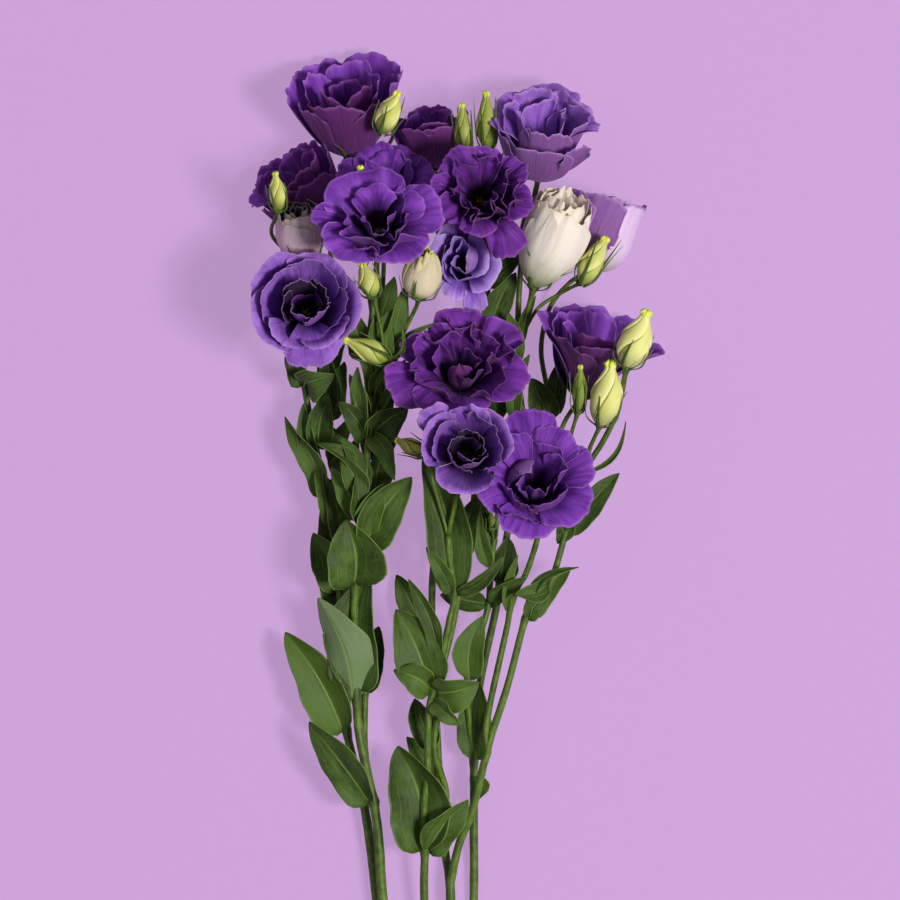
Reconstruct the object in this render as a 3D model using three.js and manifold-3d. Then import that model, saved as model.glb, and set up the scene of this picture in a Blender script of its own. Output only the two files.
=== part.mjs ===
// A bunch of six cut lisianthus stems, laid down as one sheaf on a flat surface.
// Millimetres. +X is to the right, +Y runs along the stems towards the flower heads, and +Z is up.
// The origin is the middle of the bunch's footprint, on the surface.
// Each leafy stem is one green solid with its leaves, sepals and side shoots.
// Each flower is one solid of petals in layers round a small core, and each bud is one solid.
import * as THREE from "three";
import { mergeVertices } from "three/addons/utils/BufferGeometryUtils.js";
import Module from "manifold-3d";

const wasm = await Module();
wasm.setup();

// ---------------------------------------------------------------- driving sizes
const stalkStep = 22; // length of one straight piece of a stalk
const thinStalk = 1.6; // a stalk under this radius has four sides, and a thicker one five
const leafThickness = 0.8;
const petalThickness = 0.8;
const petalLift = 0.8; // one edge of a petal stands out and the other in by this, clear of its neighbours
const coreMargin = 1; // how far a flower's base stands out past its outer petals
const seatRadius = 1; // foot of a flower or bud, inside the ring of its sepals
const seatGap = 0.35; // clearance between a flower and the stalk that carries it
const openingRadius = 10; // a bud above this radius is about to open
const foldTurn = 0.28; // how far a bud's folds wind from one ring to the next, in radians
const foldDepth = 0.14;
const calyxRadius = 3;
const calyxHeight = 3.5;
const sepalRoot = 0.6; // inner radius of a sepal's foot as a share of the calyx's
const sepalClearance = 1.5; // added to the reach of every sepal, so that it clears what it stands round
const budSepal = [1.35, 0.33]; // tip of a bud's sepals as shares of its radius and length, as [out, high]
const bunchShift = new THREE.Vector3(-1, -240, 0); // moves the plan so that the origin is under its middle

const colours = {
  stem: 0x5f8a3f,
  violet: 0x5a2f9c,
  deep: 0x4a1c86,
  lilac: 0x8a6ccb,
  pale: 0xcfc3d6,
  cream: 0xe6e2c8,
  bud: 0xb9c86a,
};

// ---------------------------------------------------------------- the plan
// A shoot is a line of points [x, y, z] with its radius at the foot and the tip, and what its tip carries.
// A leaf is [shoot, y of its node, tip x, tip y, tip z, width, bow, roll, sway]:
// bow lifts the middle of the blade off its chord, roll turns the blade about it in degrees,
// and sway bends it sideways.
const stems = {
  stem_left_back: {
    shoots: {
      main: {
        carries: "flower_left", radius: [3, 1.7],
        path: [
          [-33, 3, 2.35], [-35.5, 40, 2.35], [-37.5, 62, 3.6], [-43, 104, 8], [-52, 143, 10],
          [-52, 164, 11], [-55, 205, 13], [-59, 248, 15], [-67.5, 286, 18], [-73, 317, 22],
          [-73.5, 334, 27], [-73, 348, 38],
        ],
      },
      inner: {
        carries: "flower_upper_left", radius: [2, 1.5],
        path: [
          [-54, 196, 12], [-55, 235, 12], [-56.5, 272, 12], [-62, 297, 12], [-64, 318, 10],
          [-62, 345, 10], [-60, 375, 14], [-61, 397, 19],
        ],
      },
      swirl: {
        carries: "bud_opening_mauve", radius: [1.5, 1.3],
        path: [
          [-64, 318, 10], [-58, 345, 20], [-62, 366, 31], [-73.5, 383, 38.5],
        ],
      },
      tuck: {
        carries: "bud_upper_left", radius: [1.3, 1.1],
        path: [
          [-60, 356, 28], [-72, 376, 28], [-89, 392, 38], [-85, 405, 54],
        ],
      },
    },
    leaves: [
      ["main", 143, -83, 193, 16, 22, 3, -15, -4],
      ["main", 170, -64, 192, 14, 10, 2, 0, -2],
      ["main", 200, -65, 256, 8, 20, -2, 0, -3],
      ["main", 262, -84, 301, 20, 13, 3, -30, -6],
      ["main", 317, -82, 337, 28, 11, 2, -35, -3],
      ["main", 317, -59, 322, 34, 17, 5, 20, 3],
      ["inner", 272, -64, 300, 22, 11, 2, 20, -2],
      ["inner", 272, -48, 303, 20, 11, 2, -20, 3],
      ["inner", 300, -53, 329, 20, 13, 2, 10, 2],
    ],
  },
  stem_left_front: {
    shoots: {
      main: {
        carries: "flower_crest", radius: [3.1, 1.7],
        path: [
          [-27, 0, 7], [-34, 60, 11.5], [-35.7, 86, 14], [-38.5, 108, 17], [-45, 138, 20],
          [-47, 159, 22], [-48, 191, 26], [-47.5, 215, 29], [-43, 243, 33], [-42.6, 262, 35],
          [-41, 292, 38], [-39.5, 311, 40], [-41.5, 330, 42], [-38, 360, 44], [-36.6, 376, 46],
          [-36.5, 387, 54],
        ],
      },
      back: {
        carries: "flower_top_left", radius: [2.2, 1.5],
        path: [
          [-38.5, 108, 17], [-43, 134, 13.5], [-43, 163, 13], [-44, 200, 16], [-41, 240, 18],
          [-36.5, 281, 22], [-35.5, 305, 24], [-38, 345, 22], [-44, 385, 16], [-49, 420, 14],
          [-49, 434, 16],
        ],
      },
      middle: {
        carries: "flower_behind", radius: [1.4, 1.3],
        path: [
          [-37, 330, 23], [-34, 362, 22], [-33, 390, 18], [-32, 405, 22],
        ],
      },
      cream: {
        carries: "bud_opening_cream", radius: [1.5, 1.2],
        path: [
          [-40.5, 298, 38], [-33, 318, 42], [-25, 340, 46], [-17, 356, 55], [-15.5, 361, 62],
        ],
      },
      low: {
        carries: "bud_under_crest", radius: [1.2, 1.1],
        path: [
          [-31, 322, 46], [-34, 342, 54], [-38, 362, 59],
        ],
      },
      peep: {
        carries: "bud_peep", radius: [1.2, 1],
        path: [
          [-38, 360, 44], [-45, 385, 48], [-47, 405, 55],
        ],
      },
      top: {
        carries: "bud_top_left", radius: [1.2, 1.1],
        path: [
          [-48, 412, 14], [-38, 428, 12], [-29, 442, 20], [-30, 446, 38], [-34, 444, 52],
        ],
      },
    },
    leaves: [
      ["main", 108, -71, 148, 26, 20, 5, -30, -4],
      ["main", 160, -66, 211, 34, 23, -3, 168, 5],
      ["main", 164, -41, 223, 31, 25, -2, 0, 6],
      ["main", 217, -52, 250, 44, 28, 3, 0, -3],
      ["main", 237, -19, 271, 40, 20, 3, 15, 4],
      ["main", 262, -54, 292, 40, 10, 2, 30, -2],
      ["main", 292, -47, 326, 48, 12, 2, -50, -3],
      ["main", 292, -21, 306, 46, 16, 3, 20, 3],
      ["main", 330, -52, 357, 46, 12, 2, -20, -2],
      ["back", 163, -36, 196, 8, 14, -2, 0, 2],
      ["back", 281, -27, 303, 22, 12, 2, 0, 2],
      ["back", 345, -28, 372, 26, 11, 2, 0, 0],
      ["cream", 318, -30, 348, 52, 8, 2, 0, 0],
    ],
  },
  stem_centre_front: {
    shoots: {
      main: {
        radius: [2.8, 1.7],
        path: [
          [-11, 2, 2.3], [-13, 60, 13], [-12.7, 83, 18], [-13, 105, 22], [-11.5, 122, 25],
          [-10.8, 152, 31], [-8.5, 164, 34], [-4.6, 179, 36], [-0.3, 200, 38], [2.2, 213, 40],
          [-0.5, 232, 43], [-1, 242, 45],
        ],
      },
      crown: {
        carries: "flower_low_left", radius: [1.6, 1.5],
        path: [
          [-1, 242, 45], [3, 260, 50], [7.5, 274, 57], [8, 282, 66],
        ],
      },
      second: {
        carries: "flower_middle", radius: [2.2, 1.6],
        path: [
          [-12.7, 83, 18], [-3, 105, 24], [-2.7, 116, 24], [-8, 134, 22], [-6.5, 152, 24],
          [-5, 170, 26], [2, 200, 28], [7, 232, 30], [12, 262, 32], [11, 288, 30], [6, 306, 30],
          [5, 317, 34],
        ],
      },
      side: {
        carries: "bud_low_left", radius: [1.2, 1.1],
        path: [
          [-1, 242, 45], [-6, 260, 48], [-10, 274, 50], [-12.5, 284, 53],
        ],
      },
      left: {
        carries: "bud_left", radius: [1.3, 1.1],
        path: [
          [11, 288, 30], [-8, 302, 36], [-22, 315, 44], [-31, 330, 55],
        ],
      },
    },
    leaves: [
      ["main", 83, -26, 136, 22, 29, 2, 0, -5],
      ["main", 83, 9, 109, 29, 17, 3, 15, 3],
      ["main", 164, -27, 205, 38, 24, 2, 0, -2],
      ["main", 164, -28, 174, 40, 15, 3, -20, -4],
      ["main", 164, 14, 168, 42, 20, 4, 20, 0],
      ["main", 180, -21, 220, 42, 9, 2, -20, -4],
      ["main", 213, -13, 283, 44, 21, 2, 0, -5],
      ["main", 213, 26, 231, 50, 7, 2, 0, -3],
      ["second", 232, 15, 263, 36, 11, 2, 0, 3],
      ["second", 134, -18, 160, 16, 13, -2, 0, 0],
    ],
  },
  stem_centre_back: {
    shoots: {
      main: {
        carries: "flower_dark", radius: [2.6, 1.6],
        path: [
          [-3, 6, 2.1], [0, 58, 3], [-2.6, 84, 5], [-5, 112, 7], [-7, 150, 7], [-9, 190, 8],
          [-8, 230, 9], [0, 265, 11], [14, 300, 13], [19, 335, 15], [19, 360, 18], [17, 385, 22],
          [15.3, 400, 27], [15, 408, 37],
        ],
      },
      pale: {
        carries: "flower_loose", radius: [1.5, 1.3],
        path: [
          [19, 335, 15], [12, 352, 12], [9, 366, 11], [8, 376, 16],
        ],
      },
      far: {
        carries: "flower_top_middle", radius: [1.5, 1.3],
        path: [
          [17, 385, 22], [8, 402, 17], [-3, 416, 14], [-7, 427, 17],
        ],
      },
      tipLeft: {
        carries: "bud_top_middle", radius: [1.2, 1.1],
        path: [
          [16, 392, 24], [16, 412, 22], [11, 426, 27], [7.5, 435, 34],
        ],
      },
      tipRight: {
        carries: "bud_top_right", radius: [1.2, 1.1],
        path: [
          [16, 408, 22], [20, 424, 26], [19, 436, 36],
        ],
      },
    },
    leaves: [
      ["main", 112, -22, 140, 4, 13, 0, 0, -2],
      ["main", 190, -27, 222, 6, 14, 1, 0, 0],
      ["main", 300, -4, 322, 12, 12, 1, 0, -2],
      ["main", 368, 37, 383, 26, 10, 1, 0, 2],
      ["main", 350, 4, 340, 22, 7, 1, 0, 0],
    ],
  },
  stem_right_front: {
    shoots: {
      main: {
        carries: "bud_right_upper", radius: [2.8, 1.6],
        path: [
          [3, 0, 8.5], [0.5, 60, 9.5], [0.8, 69, 10], [4.5, 86, 12.5], [10, 100, 16], [14, 114, 19],
          [17, 127, 21.5], [19, 133, 22.5], [20, 139, 23.5], [29, 167, 27], [38, 201, 30],
          [42, 205, 30.5], [50, 217, 31], [56.5, 238, 32], [60, 253, 33], [64, 266, 34],
          [67.5, 275, 35], [77, 290, 40], [84, 306, 50], [88, 327, 62],
        ],
      },
      second: {
        carries: "flower_low_right", radius: [2, 1.6],
        path: [
          [19, 133, 22.5], [18, 143, 24], [20, 157, 25.5], [28.4, 195, 28], [30, 204, 29],
          [34, 216, 31], [38.5, 224, 34], [44, 242, 38], [43, 252, 41], [41.5, 260, 49],
        ],
      },
      lime: {
        carries: "bud_right_lower", radius: [1.4, 1.2],
        path: [
          [67.5, 275, 35], [70, 286, 42], [75.5, 298, 51],
        ],
      },
      green: {
        carries: "bud_right_green", radius: [1.2, 1.1],
        path: [
          [60, 253, 33], [58, 275, 33], [60, 290, 40], [64.2, 305, 50],
        ],
      },
      cup: {
        carries: "flower_right", radius: [1.5, 1.4],
        path: [
          [58, 245, 32.5], [54, 270, 28], [56, 295, 24], [66, 312, 24],
        ],
      },
    },
    leaves: [
      ["main", 202, 61, 226, 22, 13, 1, 10, 3],
      ["main", 201, 64, 226, 42, 5, 2, 0, 9],
      ["main", 217, 33, 213, 40, 10, 2, 0, 2],
      ["main", 243, 85, 273, 34, 12, 2, 15, 2],
    ],
  },
  stem_right_back: {
    shoots: {
      main: {
        carries: "flower_top_right", radius: [2.7, 1.6],
        path: [
          [10, 3, 2.4], [12, 60, 4], [12, 95, 7], [12, 129, 9], [11.5, 143, 9], [16, 172, 10],
          [23, 204, 11], [25, 218, 11], [30, 250, 11], [37, 290, 11], [34, 330, 11], [36, 380, 11],
          [42, 410, 13], [45, 424, 20],
        ],
      },
      second: {
        carries: "flower_pale", radius: [2, 1.5],
        path: [
          [12, 129, 9], [9.5, 150, 14], [9, 170, 18], [18.7, 204, 20], [20, 216, 20], [22, 239, 20],
          [27, 270, 20], [31, 300, 20], [32, 325, 22], [36.5, 345, 26], [42, 367, 34],
        ],
      },
      outer: {
        carries: "flower_far_right", radius: [1.7, 1.4],
        path: [
          [30, 250, 11], [44, 280, 9], [51, 300, 8], [49, 316, 7], [46, 336, 7], [50, 356, 9],
          [60, 369, 14], [70, 375, 20],
        ],
      },
      bud: {
        carries: "bud_far_right", radius: [1.2, 1.1],
        path: [
          [36, 342, 25], [44, 356, 22], [56, 364, 24], [66, 369, 36],
        ],
      },
      tiny: {
        carries: "bud_tiny", radius: [0.9, 0.8],
        path: [
          [22, 239, 20], [20.8, 246.5, 26.6],
        ],
      },
    },
    leaves: [
      ["main", 129, 15, 167, 13, 17, 1, 0, 2],
      ["main", 218, 29, 241, 16, 14, 1, 0, 0],
      ["main", 250, 48, 268, 12, 12, 1, 0, 0],
      ["second", 170, 16, 201, 24, 15, 1, 0, 3],
      ["second", 207, -5, 212, 18, 11, 1, 0, 0],
      ["second", 207, 38, 221, 38, 8, 2, 0, 2],
      ["second", 239, 14, 262, 22, 10, 1, 0, 0],
      ["outer", 300, 41, 321, 16, 14, 1, 0, 0],
      ["outer", 303, 55, 329, 15, 11, 1, 0, 0],
    ],
  },
};

// A flower is [middle of its mouth, mouth radius, form, colour, turn in degrees]. Its foot is on its shoot.
const flowers = {
  flower_top_left: [[-53, 470, 35], 27, "cup", "deep", 10],
  flower_top_middle: [[-10.5, 453, 24], 20, "cup", "deep", 40],
  flower_top_right: [[47.5, 451, 45], 25.5, "rose", "lilac", 0],
  flower_upper_left: [[-80, 420, 22.5], 25, "cup", "deep", 25],
  flower_behind: [[-31.5, 424, 43.5], 22, "open", "violet", 50],
  flower_crest: [[-36.5, 401, 84], 33, "open", "violet", 15],
  flower_dark: [[15, 414, 70], 27, "open", "deep", 50],
  flower_loose: [[6, 379, 44], 23, "open", "lilac", 5],
  flower_left: [[-72.5, 356, 71], 27, "rose", "lilac", 30],
  flower_pale: [[54, 406, 51], 17, "goblet", "cream", 0],
  flower_far_right: [[79, 409, 18], 19, "goblet", "pale", 35],
  flower_middle: [[5, 329, 64], 34, "open", "deep", 20],
  flower_right: [[74.5, 346, 36], 29.5, "cup", "violet", 15],
  flower_low_left: [[8, 286, 98], 24, "rose", "lilac", 50],
  flower_low_right: [[41.5, 273, 78], 29, "open", "violet", 0],
};

// A bud is [tip, greatest radius, colour], with its foot on its shoot. The first two are about to open.
const buds = {
  bud_opening_mauve: [[-76, 405, 52], 11.5, "pale"],
  bud_opening_cream: [[-12, 382, 69], 10.5, "cream"],
  bud_top_left: [[-26, 463, 63], 6, "bud"],
  bud_top_middle: [[6, 458, 41], 4.2, "bud"],
  bud_top_right: [[18, 464, 43], 5, "bud"],
  bud_upper_left: [[-87, 423, 62], 4.2, "bud"],
  bud_peep: [[-44.5, 426, 66], 4.5, "bud"],
  bud_under_crest: [[-44, 378, 66], 5.5, "bud"],
  bud_left: [[-53, 340, 63], 5.2, "bud"],
  bud_low_left: [[-27, 290, 56], 4.2, "bud"],
  bud_far_right: [[78, 391, 46], 6, "bud"],
  bud_right_upper: [[98, 354, 71], 8, "bud"],
  bud_right_lower: [[80, 329, 62], 8, "bud"],
  bud_right_green: [[65, 327, 57], 3.6, "bud"],
  bud_tiny: [[20.5, 254, 30], 1.9, "bud"],
};

// ---------------------------------------------------------------- forms of flower
// Distances out are shares of the mouth's radius and heights are shares of the bell's length: [out, high].
// The core is the rim of the fleshy base that the petals rise from, and the sepal is the tip of each sepal.
// A layer of petals has a midrib of three points, the share of its part of the circle that a petal fills,
// its cells across and along, and the height of the waves in its rim.
const forms = {
  open: {
    core: [0.23, 0.32],
    sepal: [0.52, 0.5],
    layers: [
      { petals: 5, rib: [[0.1, 0.2], [0.34, 0.95], [1, 0.84]], fill: 1.12, cells: [3, 3], ruffle: 1.5 },
      { petals: 3, rib: [[0.03, 0.2], [0.17, 0.85], [0.6, 1.04]], fill: 0.8, cells: [2, 2], ruffle: 0 },
    ],
  },
  rose: {
    core: [0.28, 0.33],
    sepal: [0.6, 0.45],
    layers: [
      { petals: 5, rib: [[0.13, 0.2], [0.5, 1.05], [1, 0.74]], fill: 1.12, cells: [3, 3], ruffle: 1.5 },
      { petals: 3, rib: [[0.03, 0.2], [0.3, 0.8], [0.62, 1.04]], fill: 0.9, cells: [2, 2], ruffle: 0 },
    ],
  },
  cup: {
    core: [0.3, 0.15],
    sepal: [0.68, 0.24],
    layers: [
      { petals: 5, rib: [[0.18, 0.1], [0.68, 0.36], [0.95, 1.04]], fill: 1.12, cells: [3, 2], ruffle: 1.5 },
      { petals: 3, rib: [[0.03, 0.05], [0.3, 0.5], [0.48, 1]], fill: 0.85, cells: [2, 2], ruffle: 0 },
    ],
  },
  goblet: {
    core: [0.46, 0.15],
    sepal: [0.92, 0.2],
    layers: [
      { petals: 5, rib: [[0.33, 0.1], [0.95, 0.3], [0.92, 1.02]], fill: 1.12, cells: [3, 2], ruffle: 1.2 },
      { petals: 2, rib: [[0.03, 0.05], [0.3, 0.5], [0.36, 0.96]], fill: 0.7, cells: [2, 2], ruffle: 0 },
    ],
  },
};

// ---------------------------------------------------------------- helpers
const vec = (a) => new THREE.Vector3(...a);

// A closed mesh as a solid for joining and cutting.
function solidOf(geometry) {
  const merged = mergeVertices(geometry, 1e-4);
  return new wasm.Manifold(
    new wasm.Mesh({
      numProp: 3,
      vertProperties: merged.attributes.position.array,
      triVerts: new Uint32Array(merged.index.array),
    }),
  );
}

function geometryOf(solid) {
  const mesh = solid.getMesh();
  return new THREE.BufferGeometry()
    .setAttribute("position", new THREE.BufferAttribute(new Float32Array(mesh.vertProperties), 3))
    .setIndex(new THREE.BufferAttribute(new Uint32Array(mesh.triVerts), 1));
}

const joined = (solids) => solids.reduce((sum, next) => sum.add(next));

// The largest connected piece, so that a scrap left by a cut is dropped.
const largest = (solid) => solid.decompose().reduce((a, b) => (a.volume() > b.volume() ? a : b));

const bufferOf = (points, index) =>
  new THREE.BufferGeometry()
    .setAttribute("position", new THREE.Float32BufferAttribute(points.flatMap((p) => [p.x, p.y, p.z]), 3))
    .setIndex(index);

// The triangles between rings of points, each ring closed on itself, and a fan over the first ring.
function ringFaces(rings) {
  const sides = rings[0].length;
  const index = [];
  for (let i = 0; i < rings.length - 1; i++)
    for (let j = 0; j < sides; j++) {
      const a = i * sides + j;
      const b = i * sides + ((j + 1) % sides);
      index.push(a, b, b + sides, a, b + sides, a + sides);
    }
  for (let j = 1; j < sides - 1; j++) index.push(0, j + 1, j);
  return index;
}

// Closes the last of a row of rings with a flat fan.
function lidFaces(rings) {
  const sides = rings[0].length;
  const first = (rings.length - 1) * sides;
  const index = [];
  for (let j = 1; j < sides - 1; j++) index.push(first, first + j, first + j + 1);
  return index;
}

const tubeOf = (rings) => bufferOf(rings.flat(), [...ringFaces(rings), ...lidFaces(rings)]);

// A thin blade: a grid of points thickened along its own normals, with the same diagonals on both faces.
function blade(point, across, along, thickness) {
  const grid = [];
  for (let i = 0; i <= along; i++)
    for (let j = 0; j <= across; j++) grid.push(point((2 * j) / across - 1, i / along));
  const at = (i, j) => i * (across + 1) + j;
  const normal = (i, j) => {
    const up = grid[at(Math.min(along, i + 1), j)].clone().sub(grid[at(Math.max(0, i - 1), j)]);
    const side = grid[at(i, Math.min(across, j + 1))].clone().sub(grid[at(i, Math.max(0, j - 1))]);
    return side.cross(up).normalize();
  };
  const front = [];
  const rear = [];
  for (let i = 0; i <= along; i++)
    for (let j = 0; j <= across; j++) {
      const n = normal(i, j).multiplyScalar(thickness / 2);
      front.push(grid[at(i, j)].clone().add(n));
      rear.push(grid[at(i, j)].clone().sub(n));
    }
  const back = front.length;
  const index = [];
  for (let i = 0; i < along; i++)
    for (let j = 0; j < across; j++) {
      const [a, b, c, d] = [at(i, j), at(i, j + 1), at(i + 1, j + 1), at(i + 1, j)];
      index.push(a, b, c, a, c, d);
      index.push(back + a, back + c, back + b, back + a, back + d, back + c);
    }
  const rim = [];
  for (let j = 0; j < across; j++) rim.push(at(0, j));
  for (let i = 0; i < along; i++) rim.push(at(i, across));
  for (let j = across; j > 0; j--) rim.push(at(along, j));
  for (let i = along; i > 0; i--) rim.push(at(i, 0));
  rim.forEach((a, k) => {
    const b = rim[(k + 1) % rim.length];
    index.push(b, a, back + a, b, back + a, back + b);
  });
  return bufferOf([...front, ...rear], index);
}

const lineOf = (shoot) => new THREE.CatmullRomCurve3(shoot.path.map(vec), false, "catmullrom", 0.5);

// Two directions square to a given one, the first as near as can be to a hint.
function sidesOf(direction, hint) {
  const side = hint.clone().addScaledVector(direction, -hint.dot(direction)).normalize();
  return [side, direction.clone().cross(side)];
}

function ring(centre, [side, other], radius, sides, turn = 0) {
  const points = [];
  for (let j = 0; j < sides; j++) {
    const a = turn + (2 * Math.PI * j) / sides;
    const point = centre.clone().addScaledVector(side, radius * Math.cos(a));
    points.push(point.addScaledVector(other, radius * Math.sin(a)));
  }
  return points;
}

const up = new THREE.Vector3(0, 0, 1);

// The frame of what a shoot carries: its foot, axis and length, and the two directions square to the axis.
function frameOf(shoot, tip, turn = 0) {
  const foot = vec(shoot.path.at(-1));
  const axis = vec(tip).sub(foot);
  const length = axis.length();
  axis.normalize();
  const hint = Math.abs(axis.z) < 0.9 ? up : new THREE.Vector3(1, 0, 0);
  const [side] = sidesOf(axis, hint);
  side.applyAxisAngle(axis, THREE.MathUtils.degToRad(turn));
  return { foot, axis, length, side, other: axis.clone().cross(side) };
}

// ---------------------------------------------------------------- stems and leaves
// A round stalk along a shoot's line. Where it carries something it ends in a cup with one sepal a side.
function stalk(shoot) {
  const line = lineOf(shoot);
  const steps = Math.max(2, Math.round(line.getLength() / stalkStep));
  const count = shoot.radius[0] < thinStalk ? 4 : 5;
  const rings = [];
  let side = new THREE.Vector3(0, 0, -1);
  for (let i = 0; i <= steps; i++) {
    const share = shoot.carries ? (i / steps) * (1 - calyxHeight / line.getLength()) : i / steps;
    const along = line.getTangentAt(share);
    const sides = sidesOf(along, side);
    side = sides[0];
    const radius = THREE.MathUtils.lerp(...shoot.radius, share);
    rings.push(ring(line.getPointAt(share), sides, radius, count, Math.PI / count));
  }
  if (!shoot.carries) return tubeOf(rings);

  const { row, isBud } = loadOf(shoot.carries);
  const { foot, axis, length } = frameOf(shoot, row[0]);
  const size = row[1];
  const sides = sidesOf(axis, side);
  rings.push(ring(foot, sides, calyxRadius, count, Math.PI / count));
  const index = ringFaces(rings);
  const points = rings.flat();
  const rim = points.length - count;
  const inner = points.length;
  points.push(...ring(foot, sides, calyxRadius * sepalRoot, count, Math.PI / count));
  for (let j = 1; j < count - 1; j++) index.push(inner, inner + j, inner + j + 1);
  const [out, high] = isBud ? budSepal : forms[row[2]].sepal;
  const reach = [out * size + sepalClearance, high * length];
  for (let j = 0; j < count; j++) {
    const next = (j + 1) % count;
    const round = points[rim + j].clone().add(points[rim + next]).multiplyScalar(0.5).sub(foot).normalize();
    points.push(foot.clone().addScaledVector(round, reach[0]).addScaledVector(axis, reach[1]));
    const tip = points.length - 1;
    index.push(rim + j, rim + next, tip, rim + next, inner + next, tip);
    index.push(inner + next, inner + j, tip, inner + j, rim + j, tip);
  }
  return bufferOf(points, index);
}

const loadOf = (name) => ({ row: flowers[name] ?? buds[name], isBud: name in buds });

// The place on a shoot at a given y: its point, its direction and its radius there.
function nodeOf(shoot, y) {
  const line = lineOf(shoot);
  const shares = Array.from({ length: 201 }, (_, i) => i / 200);
  const off = (share) => Math.abs(line.getPointAt(share).y - y);
  const share = shares.reduce((a, b) => (off(b) < off(a) ? b : a));
  const radius = THREE.MathUtils.lerp(...shoot.radius, share);
  return { centre: line.getPointAt(share), along: line.getTangentAt(share), radius };
}

// A leaf blade: narrow at its node, widest in its lower third and pointed, with a channel along its midrib.
function leaf(shoot, [, y, tipX, tipY, tipZ, width, bow, roll, sway]) {
  const tip = new THREE.Vector3(tipX, tipY, tipZ);
  const { centre, along: stalkWay, radius } = nodeOf(shoot, y);
  const away = sidesOf(stalkWay, tip.clone().sub(centre))[0];
  const foot = centre.clone().addScaledVector(away, 0.55 * radius);
  const chord = tip.sub(foot);
  const length = chord.length();
  chord.normalize();
  const side = chord.clone().cross(up).normalize().applyAxisAngle(chord, THREE.MathUtils.degToRad(roll));
  const face = side.clone().cross(chord);
  const point = (u, v) => {
    const outline = 2.25 * (v + 0.015) ** 0.55 * (1.03 - v) ** 0.8;
    const half = 0.5 * width * Math.min(1, outline);
    const arch = Math.sin(Math.PI * v);
    return foot
      .clone()
      .addScaledVector(chord, length * v)
      .addScaledVector(side, u * half - sway * arch)
      .addScaledVector(face, bow * arch + Math.abs(u) * half * 0.25 * Math.min(1, 3 * v));
  };
  return blade(point, 2, Math.min(4, Math.ceil((length + 12) / 20)), leafThickness);
}

// ---------------------------------------------------------------- flowers and buds
// One petal on its midrib: a fan with a rounded tip, one edge out and one in, and a rim that waves.
function petal(frame, radius, layer, k) {
  const { axis, length, side, other, foot } = frame;
  const share = (Math.PI / layer.petals) * layer.fill;
  const bearing = (2 * Math.PI * k) / layer.petals;
  const rib = (s) => [0, 1].map((i) => {
    const [a, b, c] = layer.rib.map((knot) => knot[i] * (i ? length : radius));
    return (1 - s) ** 2 * a + 2 * s * (1 - s) * b + s * s * c;
  });
  const point = (u, v) => {
    const s = v * (1 - 0.22 * u * u);
    const [out, high] = rib(s);
    const [aheadOut, aheadHigh] = rib(s + 0.02);
    const run = Math.hypot(aheadOut - out, aheadHigh - high);
    const wave = Math.abs(u) < 0.9 ? Math.sign(u) * (k % 2 ? 1 : -1) * layer.ruffle * v * v : 0;
    const lift = petalLift * u + wave;
    const r = out + ((aheadHigh - high) / run) * lift;
    const h = high - ((aheadOut - out) / run) * lift;
    const a = bearing + u * share * (1 - 0.12 * v);
    return foot
      .clone()
      .addScaledVector(axis, h + seatGap)
      .addScaledVector(side, r * Math.cos(a))
      .addScaledVector(other, r * Math.sin(a));
  };
  return blade(point, ...layer.cells, petalThickness);
}

function flower(frame, [, radius, form]) {
  const { core, layers } = forms[form];
  const { foot, axis, length, side, other } = frame;
  const rim = core[0] * radius + coreMargin;
  const rings = [[0, seatRadius], [0.75, rim], [1, rim]].map(([high, wide]) => {
    const centre = foot.clone().addScaledVector(axis, seatGap + high * core[1] * length);
    return ring(centre, [side, other], wide, 5);
  });
  const parts = [solidOf(tubeOf(rings))];
  for (const layer of layers)
    for (let k = 0; k < layer.petals; k++) parts.push(solidOf(petal(frame, radius, layer, k)));
  return largest(joined(parts));
}

// A closed bud: a spindle, fullest in its lower part and drawn out to a blunt point, with the folds of its
// furled petals winding up it. A bud about to open is rounder and has more of them.
function bud(frame, [, radius]) {
  const { foot, axis, length, side, other } = frame;
  const isOpening = radius > openingRadius;
  const sides = isOpening ? 10 : 6;
  const fullness = isOpening ? [0, 0.84, 1, 0.86, 0.3] : [0, 0.8, 1, 0.6, 0.1];
  const rings = fullness.map((wide, i) => {
    const high = [0, 0.18, 0.42, 0.74, 1][i];
    const centre = foot.clone().addScaledVector(axis, seatGap + high * (length - seatGap));
    const points = ring(centre, [side, other], Math.max(seatRadius, wide * radius), sides, foldTurn * i);
    points.forEach((point, j) => j % 2 && point.lerp(centre, foldDepth));
    return points;
  });
  return solidOf(tubeOf(rings));
}

// ---------------------------------------------------------------- assembly
const group = new THREE.Group();
group.position.copy(bunchShift);

function addNode(name, solid, colour, roughness) {
  const trimmed = largest(solid.trimByPlane([0, 0, 1], 0));
  const material = new THREE.MeshStandardMaterial({ color: colours[colour], roughness, metalness: 0 });
  const mesh = new THREE.Mesh(geometryOf(trimmed), material);
  mesh.name = name;
  group.add(mesh);
}

for (const [name, { shoots, leaves }] of Object.entries(stems)) {
  const parts = Object.values(shoots).map((shoot) => solidOf(stalk(shoot)));
  leaves.forEach((row) => parts.push(solidOf(leaf(shoots[row[0]], row))));
  addNode(name, joined(parts), "stem", 0.6);
}

for (const { shoots } of Object.values(stems))
  for (const shoot of Object.values(shoots)) {
    const name = shoot.carries;
    if (!name) continue;
    const { row, isBud } = loadOf(name);
    const frame = frameOf(shoot, row[0], isBud ? 0 : row[4]);
    if (isBud) addNode(name, bud(frame, row), row[2], 0.6);
    else addNode(name, flower(frame, row), row[3], 0.75);
  }

export default group;
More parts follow.
